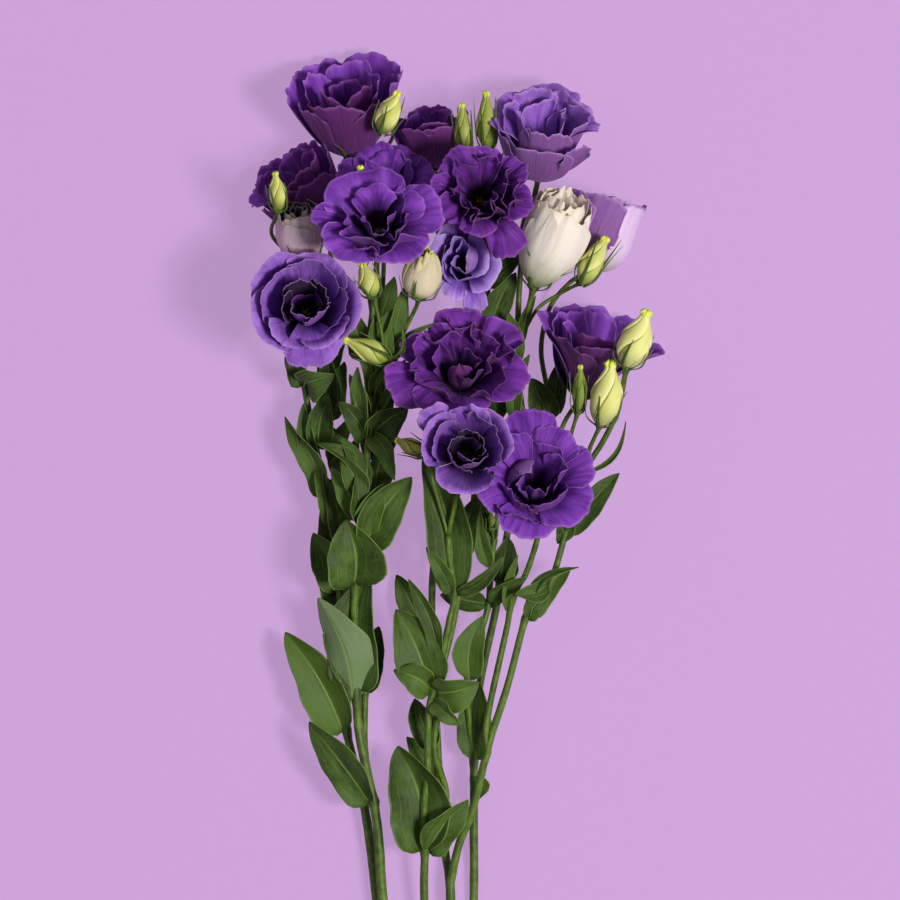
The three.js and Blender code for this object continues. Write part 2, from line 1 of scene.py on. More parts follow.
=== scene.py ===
import math
import bpy
import numpy as np
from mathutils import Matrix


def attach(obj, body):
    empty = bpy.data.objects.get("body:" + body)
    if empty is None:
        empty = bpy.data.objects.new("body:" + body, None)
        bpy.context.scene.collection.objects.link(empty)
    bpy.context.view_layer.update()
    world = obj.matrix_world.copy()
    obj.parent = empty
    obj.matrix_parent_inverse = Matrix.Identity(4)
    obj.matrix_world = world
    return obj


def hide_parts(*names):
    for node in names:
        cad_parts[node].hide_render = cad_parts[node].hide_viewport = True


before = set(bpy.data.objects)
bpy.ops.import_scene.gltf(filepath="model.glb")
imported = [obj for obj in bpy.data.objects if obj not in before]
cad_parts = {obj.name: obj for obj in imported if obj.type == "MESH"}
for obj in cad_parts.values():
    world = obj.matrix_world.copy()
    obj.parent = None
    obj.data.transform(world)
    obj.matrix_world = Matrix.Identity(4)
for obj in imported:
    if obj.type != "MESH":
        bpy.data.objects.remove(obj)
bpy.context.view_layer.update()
print("frame loaded:", len(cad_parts), "nodes")

# Every place below is in millimetres on the bunch's plan: x to the right, y along the stems to the heads,
# z up from the surface. planShift takes the plan to the frame, and toMetres brings it to size.
planShift = np.array([-1.0, -240.0, 0.0])
toMetres = 0.001
skyward = np.array([0.0, 0.0, 1.0])
rightward = np.array([1.0, 0.0, 0.0])

# The camera looks straight down on the middle of the bunch.
view = {"centre": (0.0, 285.0), "height": 4.0, "focusHeight": 0.045, "width": 0.45, "sensor": 36.0}
camera = bpy.data.objects.new("camera", bpy.data.cameras.new("camera"))
camera.data.sensor_width = view["sensor"]
camera.data.lens = view["sensor"] * (view["height"] - view["focusHeight"]) / view["width"]
camera.data.clip_start, camera.data.clip_end = 0.1, 50
middle = (np.array([*view["centre"], 0]) + planShift) * toMetres
camera.location = (middle[0], middle[1], view["height"])
bpy.context.scene.collection.objects.link(camera)
bpy.context.scene.camera = camera
bpy.context.scene.view_settings.view_transform = "Standard"


class Flow:
    # a value in a material: sums on it add Math nodes, and add() adds any other node
    def __init__(self, tree, socket=None):
        self.tree = tree
        self.socket = socket

    def add(self, kind, settings=None, sockets=None, output=0):
        # a node of this kind, with its settings first and then the values or links of its sockets
        node = self.tree.nodes.new(kind)
        for name, value in (settings or {}).items():
            setattr(node, name, value)
        for name, value in (sockets or {}).items():
            if isinstance(value, Flow):
                self.tree.links.new(value.socket, node.inputs[name])
            else:
                node.inputs[name].default_value = value
        return Flow(self.tree, node.outputs[output])

    def sum(self, operation, first, second=0.0):
        # a Math node, whose inputs are values or links
        return self.add("ShaderNodeMath", {"operation": operation}, {0: first, 1: second})

    def __add__(self, other):
        return self.sum("ADD", self, other)

    def __radd__(self, other):
        return self.sum("ADD", other, self)

    def __sub__(self, other):
        return self.sum("SUBTRACT", self, other)

    def __rsub__(self, other):
        return self.sum("SUBTRACT", other, self)

    def __mul__(self, other):
        return self.sum("MULTIPLY", self, other)

    def __rmul__(self, other):
        return self.sum("MULTIPLY", other, self)

    def __abs__(self):
        return self.sum("ABSOLUTE", self)

    def between(self, low, high):
        # 0 at low and 1 at high, with a soft start and stop
        return self.add("ShaderNodeMapRange", {"interpolation_type": "SMOOTHSTEP"},
                        {"Value": self, "From Min": low, "From Max": high})

    def largerOf(self, other):
        return self.sum("MAXIMUM", self, other)

    def blend(self, first, second):
        # from the first colour to the second as this value goes from 0 to 1
        return self.add("ShaderNodeMix", {"data_type": "RGBA"}, {0: self, 6: first, 7: second}, 2)


def tint(red, green, blue):
    # a colour as it looks on a screen, 0 to 255, made linear for the shader
    shares = [c / 255 for c in (red, green, blue)]
    return (*[c / 12.92 if c <= 0.04045 else ((c + 0.055) / 1.055) ** 2.4 for c in shares], 1.0)


def newMaterial(name, constants):
    # a material with the shader's fixed values set, and a flow to start its sums from
    material = bpy.data.materials.new(name)
    material.use_nodes = True
    tree = material.node_tree
    shader = tree.nodes["Principled BSDF"]
    for socket, value in constants.items():
        shader.inputs[socket].default_value = value
    return material, Flow(tree), shader


def feed(shader, flow, sockets):
    # links what varies to the shader
    for name, value in sockets.items():
        flow.tree.links.new(value.socket, shader.inputs[name])


def axesOf(flow, attribute):
    # the three numbers of a point attribute
    whole = flow.add("ShaderNodeAttribute", {"attribute_name": attribute}, output=1)
    return [flow.add("ShaderNodeSeparateXYZ", None, {0: whole}, i) for i in range(3)]


def grain(flow, x, y, z, detail, roughness):
    # noise read at a place worked out from three values
    place = flow.add("ShaderNodeCombineXYZ", None, {0: x, 1: y, 2: z})
    return flow.add("ShaderNodeTexNoise", None,
                    {"Vector": place, "Scale": 1.0, "Detail": detail, "Roughness": roughness})


def speckles(flow, scale, detail):
    # noise read at the place on the object
    coords = flow.add("ShaderNodeTexCoord", None, None, 3)
    return flow.add("ShaderNodeTexNoise", None, {"Vector": coords, "Scale": scale, "Detail": detail})


def bumpOf(flow, height, strength, distance):
    # relief from a height, its distance in metres
    return flow.add("ShaderNodeBump", None, {"Height": height, "Strength": strength, "Distance": distance})


# Petals: streaks run from foot to rim, the rim pales, the throat darkens with painted shade, deeper on inner
# petals, and the outer face has its own colour. A share is how much of a colour is mixed in. The foot's
# colour ends at footReach along the petal, the throat's painted shade fades over the half petal before
# throatReach, and relief is how deep streaks are.
petalFinishes = {
  "violet": {"face": tint(139, 72, 190), "shade": tint(78, 26, 124), "rim": tint(196, 140, 222),
             "rimShare": 0.3, "outer": tint(116, 60, 136), "throatShade": tint(26, 4, 34), "throatShare": 0.97,
             "foot": tint(112, 112, 84), "tip": tint(152, 80, 204), "tipShare": 0.15, "footReach": 0.25,
             "throatReach": 0.62, "relief": 0.55},
  "deep": {"face": tint(124, 54, 166), "shade": tint(54, 14, 82), "rim": tint(182, 114, 196),
           "rimShare": 0.35, "outer": tint(96, 44, 96), "throatShade": tint(14, 3, 18), "throatShare": 0.98,
           "foot": tint(84, 70, 62), "tip": tint(134, 62, 178), "tipShare": 0.2, "footReach": 0.25,
           "throatReach": 0.62, "relief": 0.55},
  "lilac": {"face": tint(157, 104, 207), "shade": tint(98, 50, 150), "rim": tint(212, 172, 228),
            "rimShare": 0.35, "outer": tint(132, 86, 142), "throatShade": tint(26, 5, 34), "throatShare": 0.97,
            "foot": tint(132, 136, 100), "tip": tint(176, 132, 216), "tipShare": 0.3, "footReach": 0.3,
            "throatReach": 0.52, "relief": 0.55},
  # The next finish is lilac with painted shade over nearly its whole face, for tube petals deep inside a
  # flower.
  "dusk": {"face": tint(160, 106, 212), "shade": tint(92, 46, 142), "rim": tint(216, 176, 232),
           "rimShare": 0.5, "outer": tint(138, 86, 170), "throatShade": tint(18, 3, 24), "throatShare": 0.98,
           "foot": tint(90, 60, 110), "tip": tint(176, 132, 216), "tipShare": 0.0, "footReach": 0.3,
           "throatReach": 1.15, "relief": 0.55},
  "blue": {"face": tint(164, 118, 218), "shade": tint(106, 64, 166), "rim": tint(210, 184, 240),
           "rimShare": 0.4, "outer": tint(140, 100, 170), "throatShade": tint(44, 14, 66), "throatShare": 0.9,
           "foot": tint(132, 136, 100), "tip": tint(196, 162, 232), "tipShare": 0.5, "footReach": 0.3,
           "throatReach": 0.5, "relief": 0.45},
  "pale": {"face": tint(206, 172, 224), "shade": tint(160, 112, 188), "rim": tint(112, 72, 142),
           "rimShare": 0.7, "outer": tint(226, 200, 230), "throatShade": tint(90, 48, 116),
           "throatShare": 0.85, "foot": tint(186, 190, 140), "tip": tint(160, 112, 188), "tipShare": 0.45,
           "footReach": 0.4, "throatReach": 0.6, "relief": 0.3},
  "cream": {"face": tint(246, 238, 226), "shade": tint(202, 184, 180), "rim": tint(216, 204, 160),
            "rimShare": 0.45, "outer": tint(240, 230, 218), "throatShade": tint(184, 170, 140),
            "throatShare": 0.6, "foot": tint(124, 146, 56), "tip": tint(222, 212, 186), "tipShare": 0.3,
            "footReach": 0.72, "throatReach": 0.5, "relief": 0.25},
  "mauve": {"face": tint(74, 46, 84), "shade": tint(40, 24, 48), "rim": tint(186, 176, 140),
            "rimShare": 0.6, "outer": tint(226, 198, 210), "throatShade": tint(20, 8, 26), "throatShare": 0.8,
            "foot": tint(172, 156, 140), "tip": tint(60, 38, 68), "tipShare": 0.85, "footReach": 0.3,
            "throatReach": 0.6, "relief": 0.35},
  "lime": {"face": tint(206, 202, 120), "shade": tint(166, 160, 92), "rim": tint(216, 216, 96),
           "rimShare": 0.85, "outer": tint(220, 202, 178), "throatShade": tint(120, 112, 60),
           "throatShare": 0.6, "foot": tint(150, 168, 76), "tip": tint(206, 206, 96), "tipShare": 0.6,
           "footReach": 0.4, "throatReach": 0.6, "relief": 0.35},
}


# How dense each pattern is across and along a petal, the fine grain, the depth of the relief in metres,
# and how much shows of the painted shade where other flowers stand over a petal, of the lines and of the
# outer face's colour.
petalSurface = {"streaks": (9, 1.7), "veins": (34, 2.6), "clouds": (2.2, 2.4), "fine": 1400.0,
                "deep": 0.0011, "paintedShade": 0.8, "line": 0.22, "outer": 0.85}


def petalMaterial(name, colours):
    material, flow, shader = newMaterial("petal " + name, {
        "Sheen Weight": 0.12, "Sheen Roughness": 0.45, "Sheen Tint": tint(214, 170, 250),
        "Subsurface Weight": 0.1, "Subsurface Radius": (0.8, 0.5, 1.0), "Subsurface Scale": 0.002,
        "Specular IOR Level": 0.14})
    across, along, outer = axesOf(flow, "place")
    chance, depth, paintedShade = axesOf(flow, "tone")
    streaks, veins, clouds = petalSurface["streaks"], petalSurface["veins"], petalSurface["clouds"]
    layer = chance * 17 + outer * 5
    streak = grain(flow, across * streaks[0] + chance * 31, along * streaks[1], layer, 4, 0.6)
    vein = grain(flow, across * veins[0] + chance * 13, along * veins[1], chance * 41, 2, 0.5)
    cloud = grain(flow, across * clouds[0] + chance * 9, along * clouds[1], chance * 23, 2, 0.5)
    line = abs(vein - 0.5).between(0.06, 0.0)
    rim = along.between(0.94, 1.0).largerOf(abs(across).between(0.95, 1.0) * along.between(0.2, 0.7))
    reach = colours["throatReach"]
    # painted shade down in the throat, reaching further up the petals that stand deeper in the flower
    throatShade = (along - depth * 0.42).between(reach, reach - 0.5) * (1 - outer)
    uneven = along + cloud * 0.3 - 0.15
    foot = outer * uneven.between(colours["footReach"], 0.02)
    tip = uneven.between(0.66, 0.98) * (1 - outer * 0.8)
    face = (streak * 0.9 + cloud * 0.9 - 0.4).between(0.1, 0.85).blend(colours["shade"], colours["face"])
    face = (line * petalSurface["line"]).blend(face, colours["shade"])
    face = (outer * petalSurface["outer"]).blend(face, colours["outer"])
    face = (outer * line * petalSurface["line"]).blend(face, colours["shade"])
    face = (throatShade * colours["throatShare"]).blend(face, colours["throatShade"])
    face = foot.blend(face, colours["foot"])
    face = (tip * colours["tipShare"]).blend(face, colours["tip"])
    face = (rim * colours["rimShare"] * (0.4 + streak)).blend(face, colours["rim"])
    # painted shade over the whole petal where other flowers stand over this one
    face = (paintedShade * petalSurface["paintedShade"]).blend(face, colours["throatShade"])
    fine = speckles(flow, petalSurface["fine"], 2.0)
    relief = streak * 0.7 + vein * 0.45 + fine * 0.12 + rim * fine * 0.5
    bump = bumpOf(flow, relief, colours["relief"], petalSurface["deep"])
    feed(shader, flow, {"Base Color": face, "Roughness": 0.44 + streak * 0.2 + fine * 0.08, "Normal": bump})
    return material


# Leaves: a pale midrib and two pairs of nerves that run with the edges, a grey bloom, and a paler
# underside.
leafFinish = {"top": tint(76, 102, 36), "shade": tint(32, 50, 14), "nerve": tint(122, 148, 70),
              "under": tint(116, 138, 96), "bloom": tint(84, 106, 60), "young": tint(104, 136, 48),
              "patches": (1.6, 3.2), "fibres": (26, 5), "net": (9, 16), "relief": 0.5}


def leafMaterial():
    material, flow, shader = newMaterial("lisianthus leaf", {
        "Specular IOR Level": 0.24, "Subsurface Weight": 0.05, "Subsurface Radius": (0.5, 1.0, 0.2),
        "Subsurface Scale": 0.002})
    across, along, upper = axesOf(flow, "place")
    chance, young, _ = axesOf(flow, "tone")
    under = 1 - upper
    patches, fibres, cells = leafFinish["patches"], leafFinish["fibres"], leafFinish["net"]
    patch = grain(flow, across * patches[0] + chance * 19, along * patches[1], chance * 7, 4, 0.6)
    fibre = grain(flow, across * fibres[0] + chance * 5, along * fibres[1], chance * 29, 3, 0.55)
    cell = grain(flow, across * cells[0] + chance * 3, along * cells[1], chance * 5, 2, 0.5)
    net = abs(cell - 0.5).between(0.04, 0.0)
    side = abs(across)
    midrib = side.between(0.075, 0.01) * along.between(1.0, 0.5)
    nerves = abs(side - 0.36).between(0.035, 0.0) + abs(side - 0.68).between(0.03, 0.0)
    veins = (midrib * 0.7).largerOf(nerves * 0.16).largerOf(side.between(0.94, 1.0) * 0.6)
    light = (patch * 1.3 + fibre * 0.4 + chance * 0.5 - 0.55).between(0.05, 0.95)
    colour = light.blend(leafFinish["shade"], leafFinish["top"])
    colour = (under * 0.8).blend(colour, leafFinish["under"])
    colour = (patch.between(0.5, 0.75) * 0.3).blend(colour, leafFinish["bloom"])
    colour = (net * 0.12).blend(colour, leafFinish["nerve"])
    colour = veins.blend(colour, leafFinish["nerve"])
    colour = (young * 0.7).blend(colour, leafFinish["young"])
    relief = fibre * 0.3 + patch * 0.45 - midrib * 0.7 - nerves * 0.2 - net * 0.12
    bump = bumpOf(flow, relief, leafFinish["relief"], 0.0008)
    feed(shader, flow, {"Base Color": colour, "Roughness": 0.42 + patch * 0.22, "Normal": bump})
    return material


# Stalks: long fibres, a darker ring at each node, and a pale pith where they were cut.
stalkFinish = {"light": tint(114, 142, 48), "dark": tint(54, 80, 20), "pith": tint(206, 212, 150),
               "ring": tint(40, 60, 16), "shaded": tint(26, 42, 10), "fibres": (12, 6), "patches": (2, 9),
               "relief": 0.4}


def stalkMaterial():
    material, flow, shader = newMaterial("lisianthus stalk", {"Specular IOR Level": 0.3})
    about, along, cut = axesOf(flow, "place")
    chance, ring, dark = axesOf(flow, "tone")
    fibres, patches = stalkFinish["fibres"], stalkFinish["patches"]
    fibre = grain(flow, about * fibres[0] + chance * 7, along * fibres[1], chance * 11, 4, 0.6)
    patch = grain(flow, about * patches[0], along * patches[1] + chance * 5, chance * 3, 3, 0.5)
    light = (fibre * 0.8 + patch * 0.8 - 0.4).between(0.1, 0.9)
    colour = light.blend(stalkFinish["dark"], stalkFinish["light"])
    colour = (ring * 0.6).blend(colour, stalkFinish["ring"])
    colour = (dark * 0.75).blend(colour, stalkFinish["shaded"])
    colour = cut.blend(colour, stalkFinish["pith"])
    bump = bumpOf(flow, fibre, stalkFinish["relief"], 0.0006)
    feed(shader, flow, {"Base Color": colour, "Roughness": 0.4 + fibre * 0.2, "Normal": bump})
    return material


# Buds: furled petals in yellow-green with a dark line of painted shade down each fold, greener at the foot
# and pale at the tip.
budFinish = {"body": tint(184, 190, 76), "pale": tint(242, 240, 166), "green": tint(100, 124, 36),
             "creaseShade": tint(62, 74, 18), "tip": tint(226, 234, 84), "stain": tint(146, 126, 84),
             "fibres": (5, 2.4), "relief": 0.5}


def budMaterial():
    material, flow, shader = newMaterial("lisianthus bud", {
        "Specular IOR Level": 0.24, "Subsurface Weight": 0.06, "Subsurface Radius": (1.0, 1.0, 0.4),
        "Subsurface Scale": 0.002})
    fold, along, about = axesOf(flow, "place")
    chance, greenness, paleness = axesOf(flow, "tone")
    fibres = budFinish["fibres"]
    fibre = grain(flow, about * fibres[0] + chance * 7, along * fibres[1], chance * 5, 4, 0.6)
    # painted shade: a dark line in the crease where each furled edge overlaps the next
    creaseShade = fold.between(0.1, 0.0).largerOf(fold.between(0.96, 1.0))
    colour = (fold * 0.6 + fibre * 0.8 - 0.35).between(0.1, 0.9).blend(budFinish["body"], budFinish["pale"])
    colour = greenness.largerOf(along.between(0.45, 0.02) * 0.9).blend(colour, budFinish["green"])
    colour = (paleness * 0.6).blend(colour, budFinish["pale"])
    colour = (fibre.between(0.55, 0.72) * 0.35).blend(colour, budFinish["stain"])
    colour = (creaseShade * 0.75).blend(colour, budFinish["creaseShade"])
    colour = (along.between(0.88, 0.97) * 0.8).blend(colour, budFinish["tip"])
    bump = bumpOf(flow, fibre * 0.6 - creaseShade * 0.6, budFinish["relief"], 0.0008)
    feed(shader, flow, {"Base Color": colour, "Roughness": 0.42 + fibre * 0.2, "Normal": bump})
    return material


def grainMaterial(name, light, dark):
    # a grainy surface in two tones
    material, flow, shader = newMaterial(name, {"Specular IOR Level": 0.3})
    grains = speckles(flow, 1100.0, 3.0)
    bump = bumpOf(flow, grains, 0.6, 0.0004)
    feed(shader, flow, {"Base Color": grains.between(0.3, 0.7).blend(dark, light), "Normal": bump,
                        "Roughness": 0.5 + grains * 0.3})
    return material


petalMaterials = {name: petalMaterial(name, colours) for name, colours in petalFinishes.items()}
leafCover, stalkCover, budCover = leafMaterial(), stalkMaterial(), budMaterial()
pollenCover = grainMaterial("pollen", tint(170, 120, 50), tint(96, 50, 24))
pistilCover = grainMaterial("pistil", tint(132, 136, 62), tint(70, 78, 30))
print("materials made")


def unit(vectors):
    # each vector over its own length
    return vectors / np.maximum(np.linalg.norm(vectors, axis=-1, keepdims=True), 1e-9)


def soft(x, low, high):
    # 0 up to low, 1 from high, and 3t^2 - 2t^3 between them
    t = np.clip((x - low) / (high - low), 0, 1)
    return t * t * (3 - 2 * t)


def profile(knots, t):
    # a curve through [place, size] knots: on each step the cubic with the mean slope at either end
    x, y = np.array(knots, float).T
    slope = np.gradient(y, x)
    i = np.clip(np.searchsorted(x, t, side="right") - 1, 0, len(x) - 2)
    step = x[i + 1] - x[i]
    w = (t - x[i]) / step
    return ((2 * w**3 - 3 * w**2 + 1) * y[i] + (w**3 - 2 * w**2 + w) * step * slope[i]
            + (3 * w**2 - 2 * w**3) * y[i + 1] + (w**3 - w**2) * step * slope[i + 1])


lineSteps = 400  # points along a shoot's line


def lineOf(path):
    # a line through the path's points: on each step the cubic whose end slopes are half the chord of the
    # points either side, then read at even steps of its length
    knots = np.array(path, float)
    ends = np.vstack([2 * knots[0] - knots[1], knots, 2 * knots[-1] - knots[-2]])
    t = np.linspace(0, len(knots) - 1, 60 * len(knots))
    i = np.minimum(t.astype(int), len(knots) - 2)
    w = (t - i)[:, None]
    before, start, stop, after = ends[i], ends[i + 1], ends[i + 2], ends[i + 3]
    points = ((2 * w**3 - 3 * w**2 + 1) * start + (w**3 - 2 * w**2 + w) * (stop - before) / 2
              + (3 * w**2 - 2 * w**3) * stop + (w**3 - w**2) * (after - start) / 2)
    gone = np.concatenate([[0], np.cumsum(np.linalg.norm(np.diff(points, axis=0), axis=1))])
    even = np.linspace(0, gone[-1], lineSteps)
    return np.stack([np.interp(even, gone, points[:, k]) for k in range(3)], axis=1), gone[-1]


def frameOf(foot, tip):
    # the foot, axis and length of what a shoot carries, with two directions square to the axis
    foot, tip = np.array(foot, float), np.array(tip, float)
    axis = tip - foot
    length = float(np.linalg.norm(axis))
    axis = axis / length
    hint = rightward if abs(axis[0]) < 0.9 else skyward
    side = unit(hint - axis * (hint @ axis))
    return {"foot": foot, "axis": axis, "length": length, "side": side, "other": np.cross(axis, side)}


def around(load, high, out, angle):
    # points at a height along what a shoot carries, a distance out from its axis and a bearing round it
    return (load["foot"] + load["axis"] * high[..., None] + load["side"] * (out * np.cos(angle))[..., None]
            + load["other"] * (out * np.sin(angle))[..., None])


class Bundle:
    # gathers surfaces into one mesh: points in millimetres, faces, the place on each surface and its tone
    press = {"below": 1.0, "least": 0.12}  # the height where points start to be pressed, and where they stop

    def __init__(self):
        self.points, self.faces, self.places, self.tones, self.covers = [], [], [], [], []
        self.count = 0

    def take(self, points, faces, place, tone, cover):
        # adds a surface's points and faces, with the index of its material
        self.points.append(points)
        for part in faces:
            self.faces += (part + self.count).tolist()
            self.covers += [cover] * len(part)
        self.places.append(place)
        self.tones.append(np.broadcast_to(np.array(tone, float), place.shape))
        self.count += len(points)

    def sheet(self, grid, u, v, tone, thickness, cover):
        # a sheet (v, u) -> point thickened half its thickness either way along its normal, with its rim
        # closed
        normal = unit(np.cross(np.gradient(grid, axis=1), np.gradient(grid, axis=0)))
        half = np.broadcast_to(np.asarray(thickness, float) / 2, v.shape)[..., None] * normal
        rows, columns = grid.shape[:2]
        size = rows * columns
        index = np.arange(size).reshape(rows, columns)
        corners = index[:-1, :-1], index[:-1, 1:], index[1:, 1:], index[1:, :-1]
        a, b, c, d = (corner.ravel() for corner in corners)
        rim = np.concatenate([index[0, :-1], index[:-1, -1], index[-1, :0:-1], index[:0:-1, 0]])
        ahead = np.roll(rim, -1)
        faces = np.concatenate([np.stack([a, b, c, d], 1), np.stack([a, d, c, b], 1) + size,
                                np.stack([ahead, rim, rim + size, ahead + size], 1)])
        points = np.concatenate([(grid + half).reshape(-1, 3), (grid - half).reshape(-1, 3)])
        flat = np.stack([u.ravel(), v.ravel()], 1)
        upper, lower = np.ones(size), np.zeros(size)
        place = np.concatenate([np.column_stack([flat, upper]), np.column_stack([flat, lower])])
        self.take(points, [faces], place, tone, cover)

    def tube(self, rings, place, tone, cover=0):
        # rings (t, a) -> point joined into a wall and closed by a fan at each end
        rows, sides = rings.shape[:2]
        index = np.arange(rows * sides).reshape(rows, sides)
        beside = np.roll(index, -1, axis=1)
        wall = np.stack([index[:-1].ravel(), beside[:-1].ravel(), beside[1:].ravel(), index[1:].ravel()], 1)
        size = rows * sides
        start = np.stack([np.full(sides, size), beside[0], index[0]], 1)
        stop = np.stack([np.full(sides, size + 1), index[-1], beside[-1]], 1)
        points = np.concatenate([rings.reshape(-1, 3), [rings[0].mean(axis=0)], [rings[-1].mean(axis=0)]])
        flat = place.reshape(-1, 3)
        places = np.concatenate([flat, [place[0].mean(axis=0)], [place[-1].mean(axis=0)]])
        if np.ndim(tone) > 1:
            tone = np.concatenate([tone.reshape(-1, 3), [tone[0].mean(axis=0)], [tone[-1].mean(axis=0)]])
        self.take(points, [wall, start, stop], places, tone, cover)

    def finish(self, name, covers, nodes, slot):
        # presses what would pass under the surface flat on it, then makes the piece in the frame, in metres
        points = np.concatenate(self.points) + planShift
        below, least = self.press["below"], self.press["least"]
        room = below - least
        under = points[:, 2] < below
        points[under, 2] = least + room * np.exp((points[under, 2] - below) / room)
        mesh = bpy.data.meshes.new(name)
        mesh.from_pydata((points * toMetres).tolist(), [], self.faces)
        mesh.polygons.foreach_set("use_smooth", np.ones(len(mesh.polygons), bool))
        mesh.polygons.foreach_set("material_index", np.array(self.covers, np.int32))
        for label, rows in (("place", self.places), ("tone", self.tones)):
            values = mesh.attributes.new(label, "FLOAT_VECTOR", "POINT")
            values.data.foreach_set("vector", np.concatenate(rows).astype(np.float32).ravel())
        for cover in covers:
            mesh.materials.append(cover)
        mesh.update()
        piece = bpy.data.objects.new(name, mesh)
        bpy.context.scene.collection.objects.link(piece)
        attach(piece, "root")
        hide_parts(*nodes)


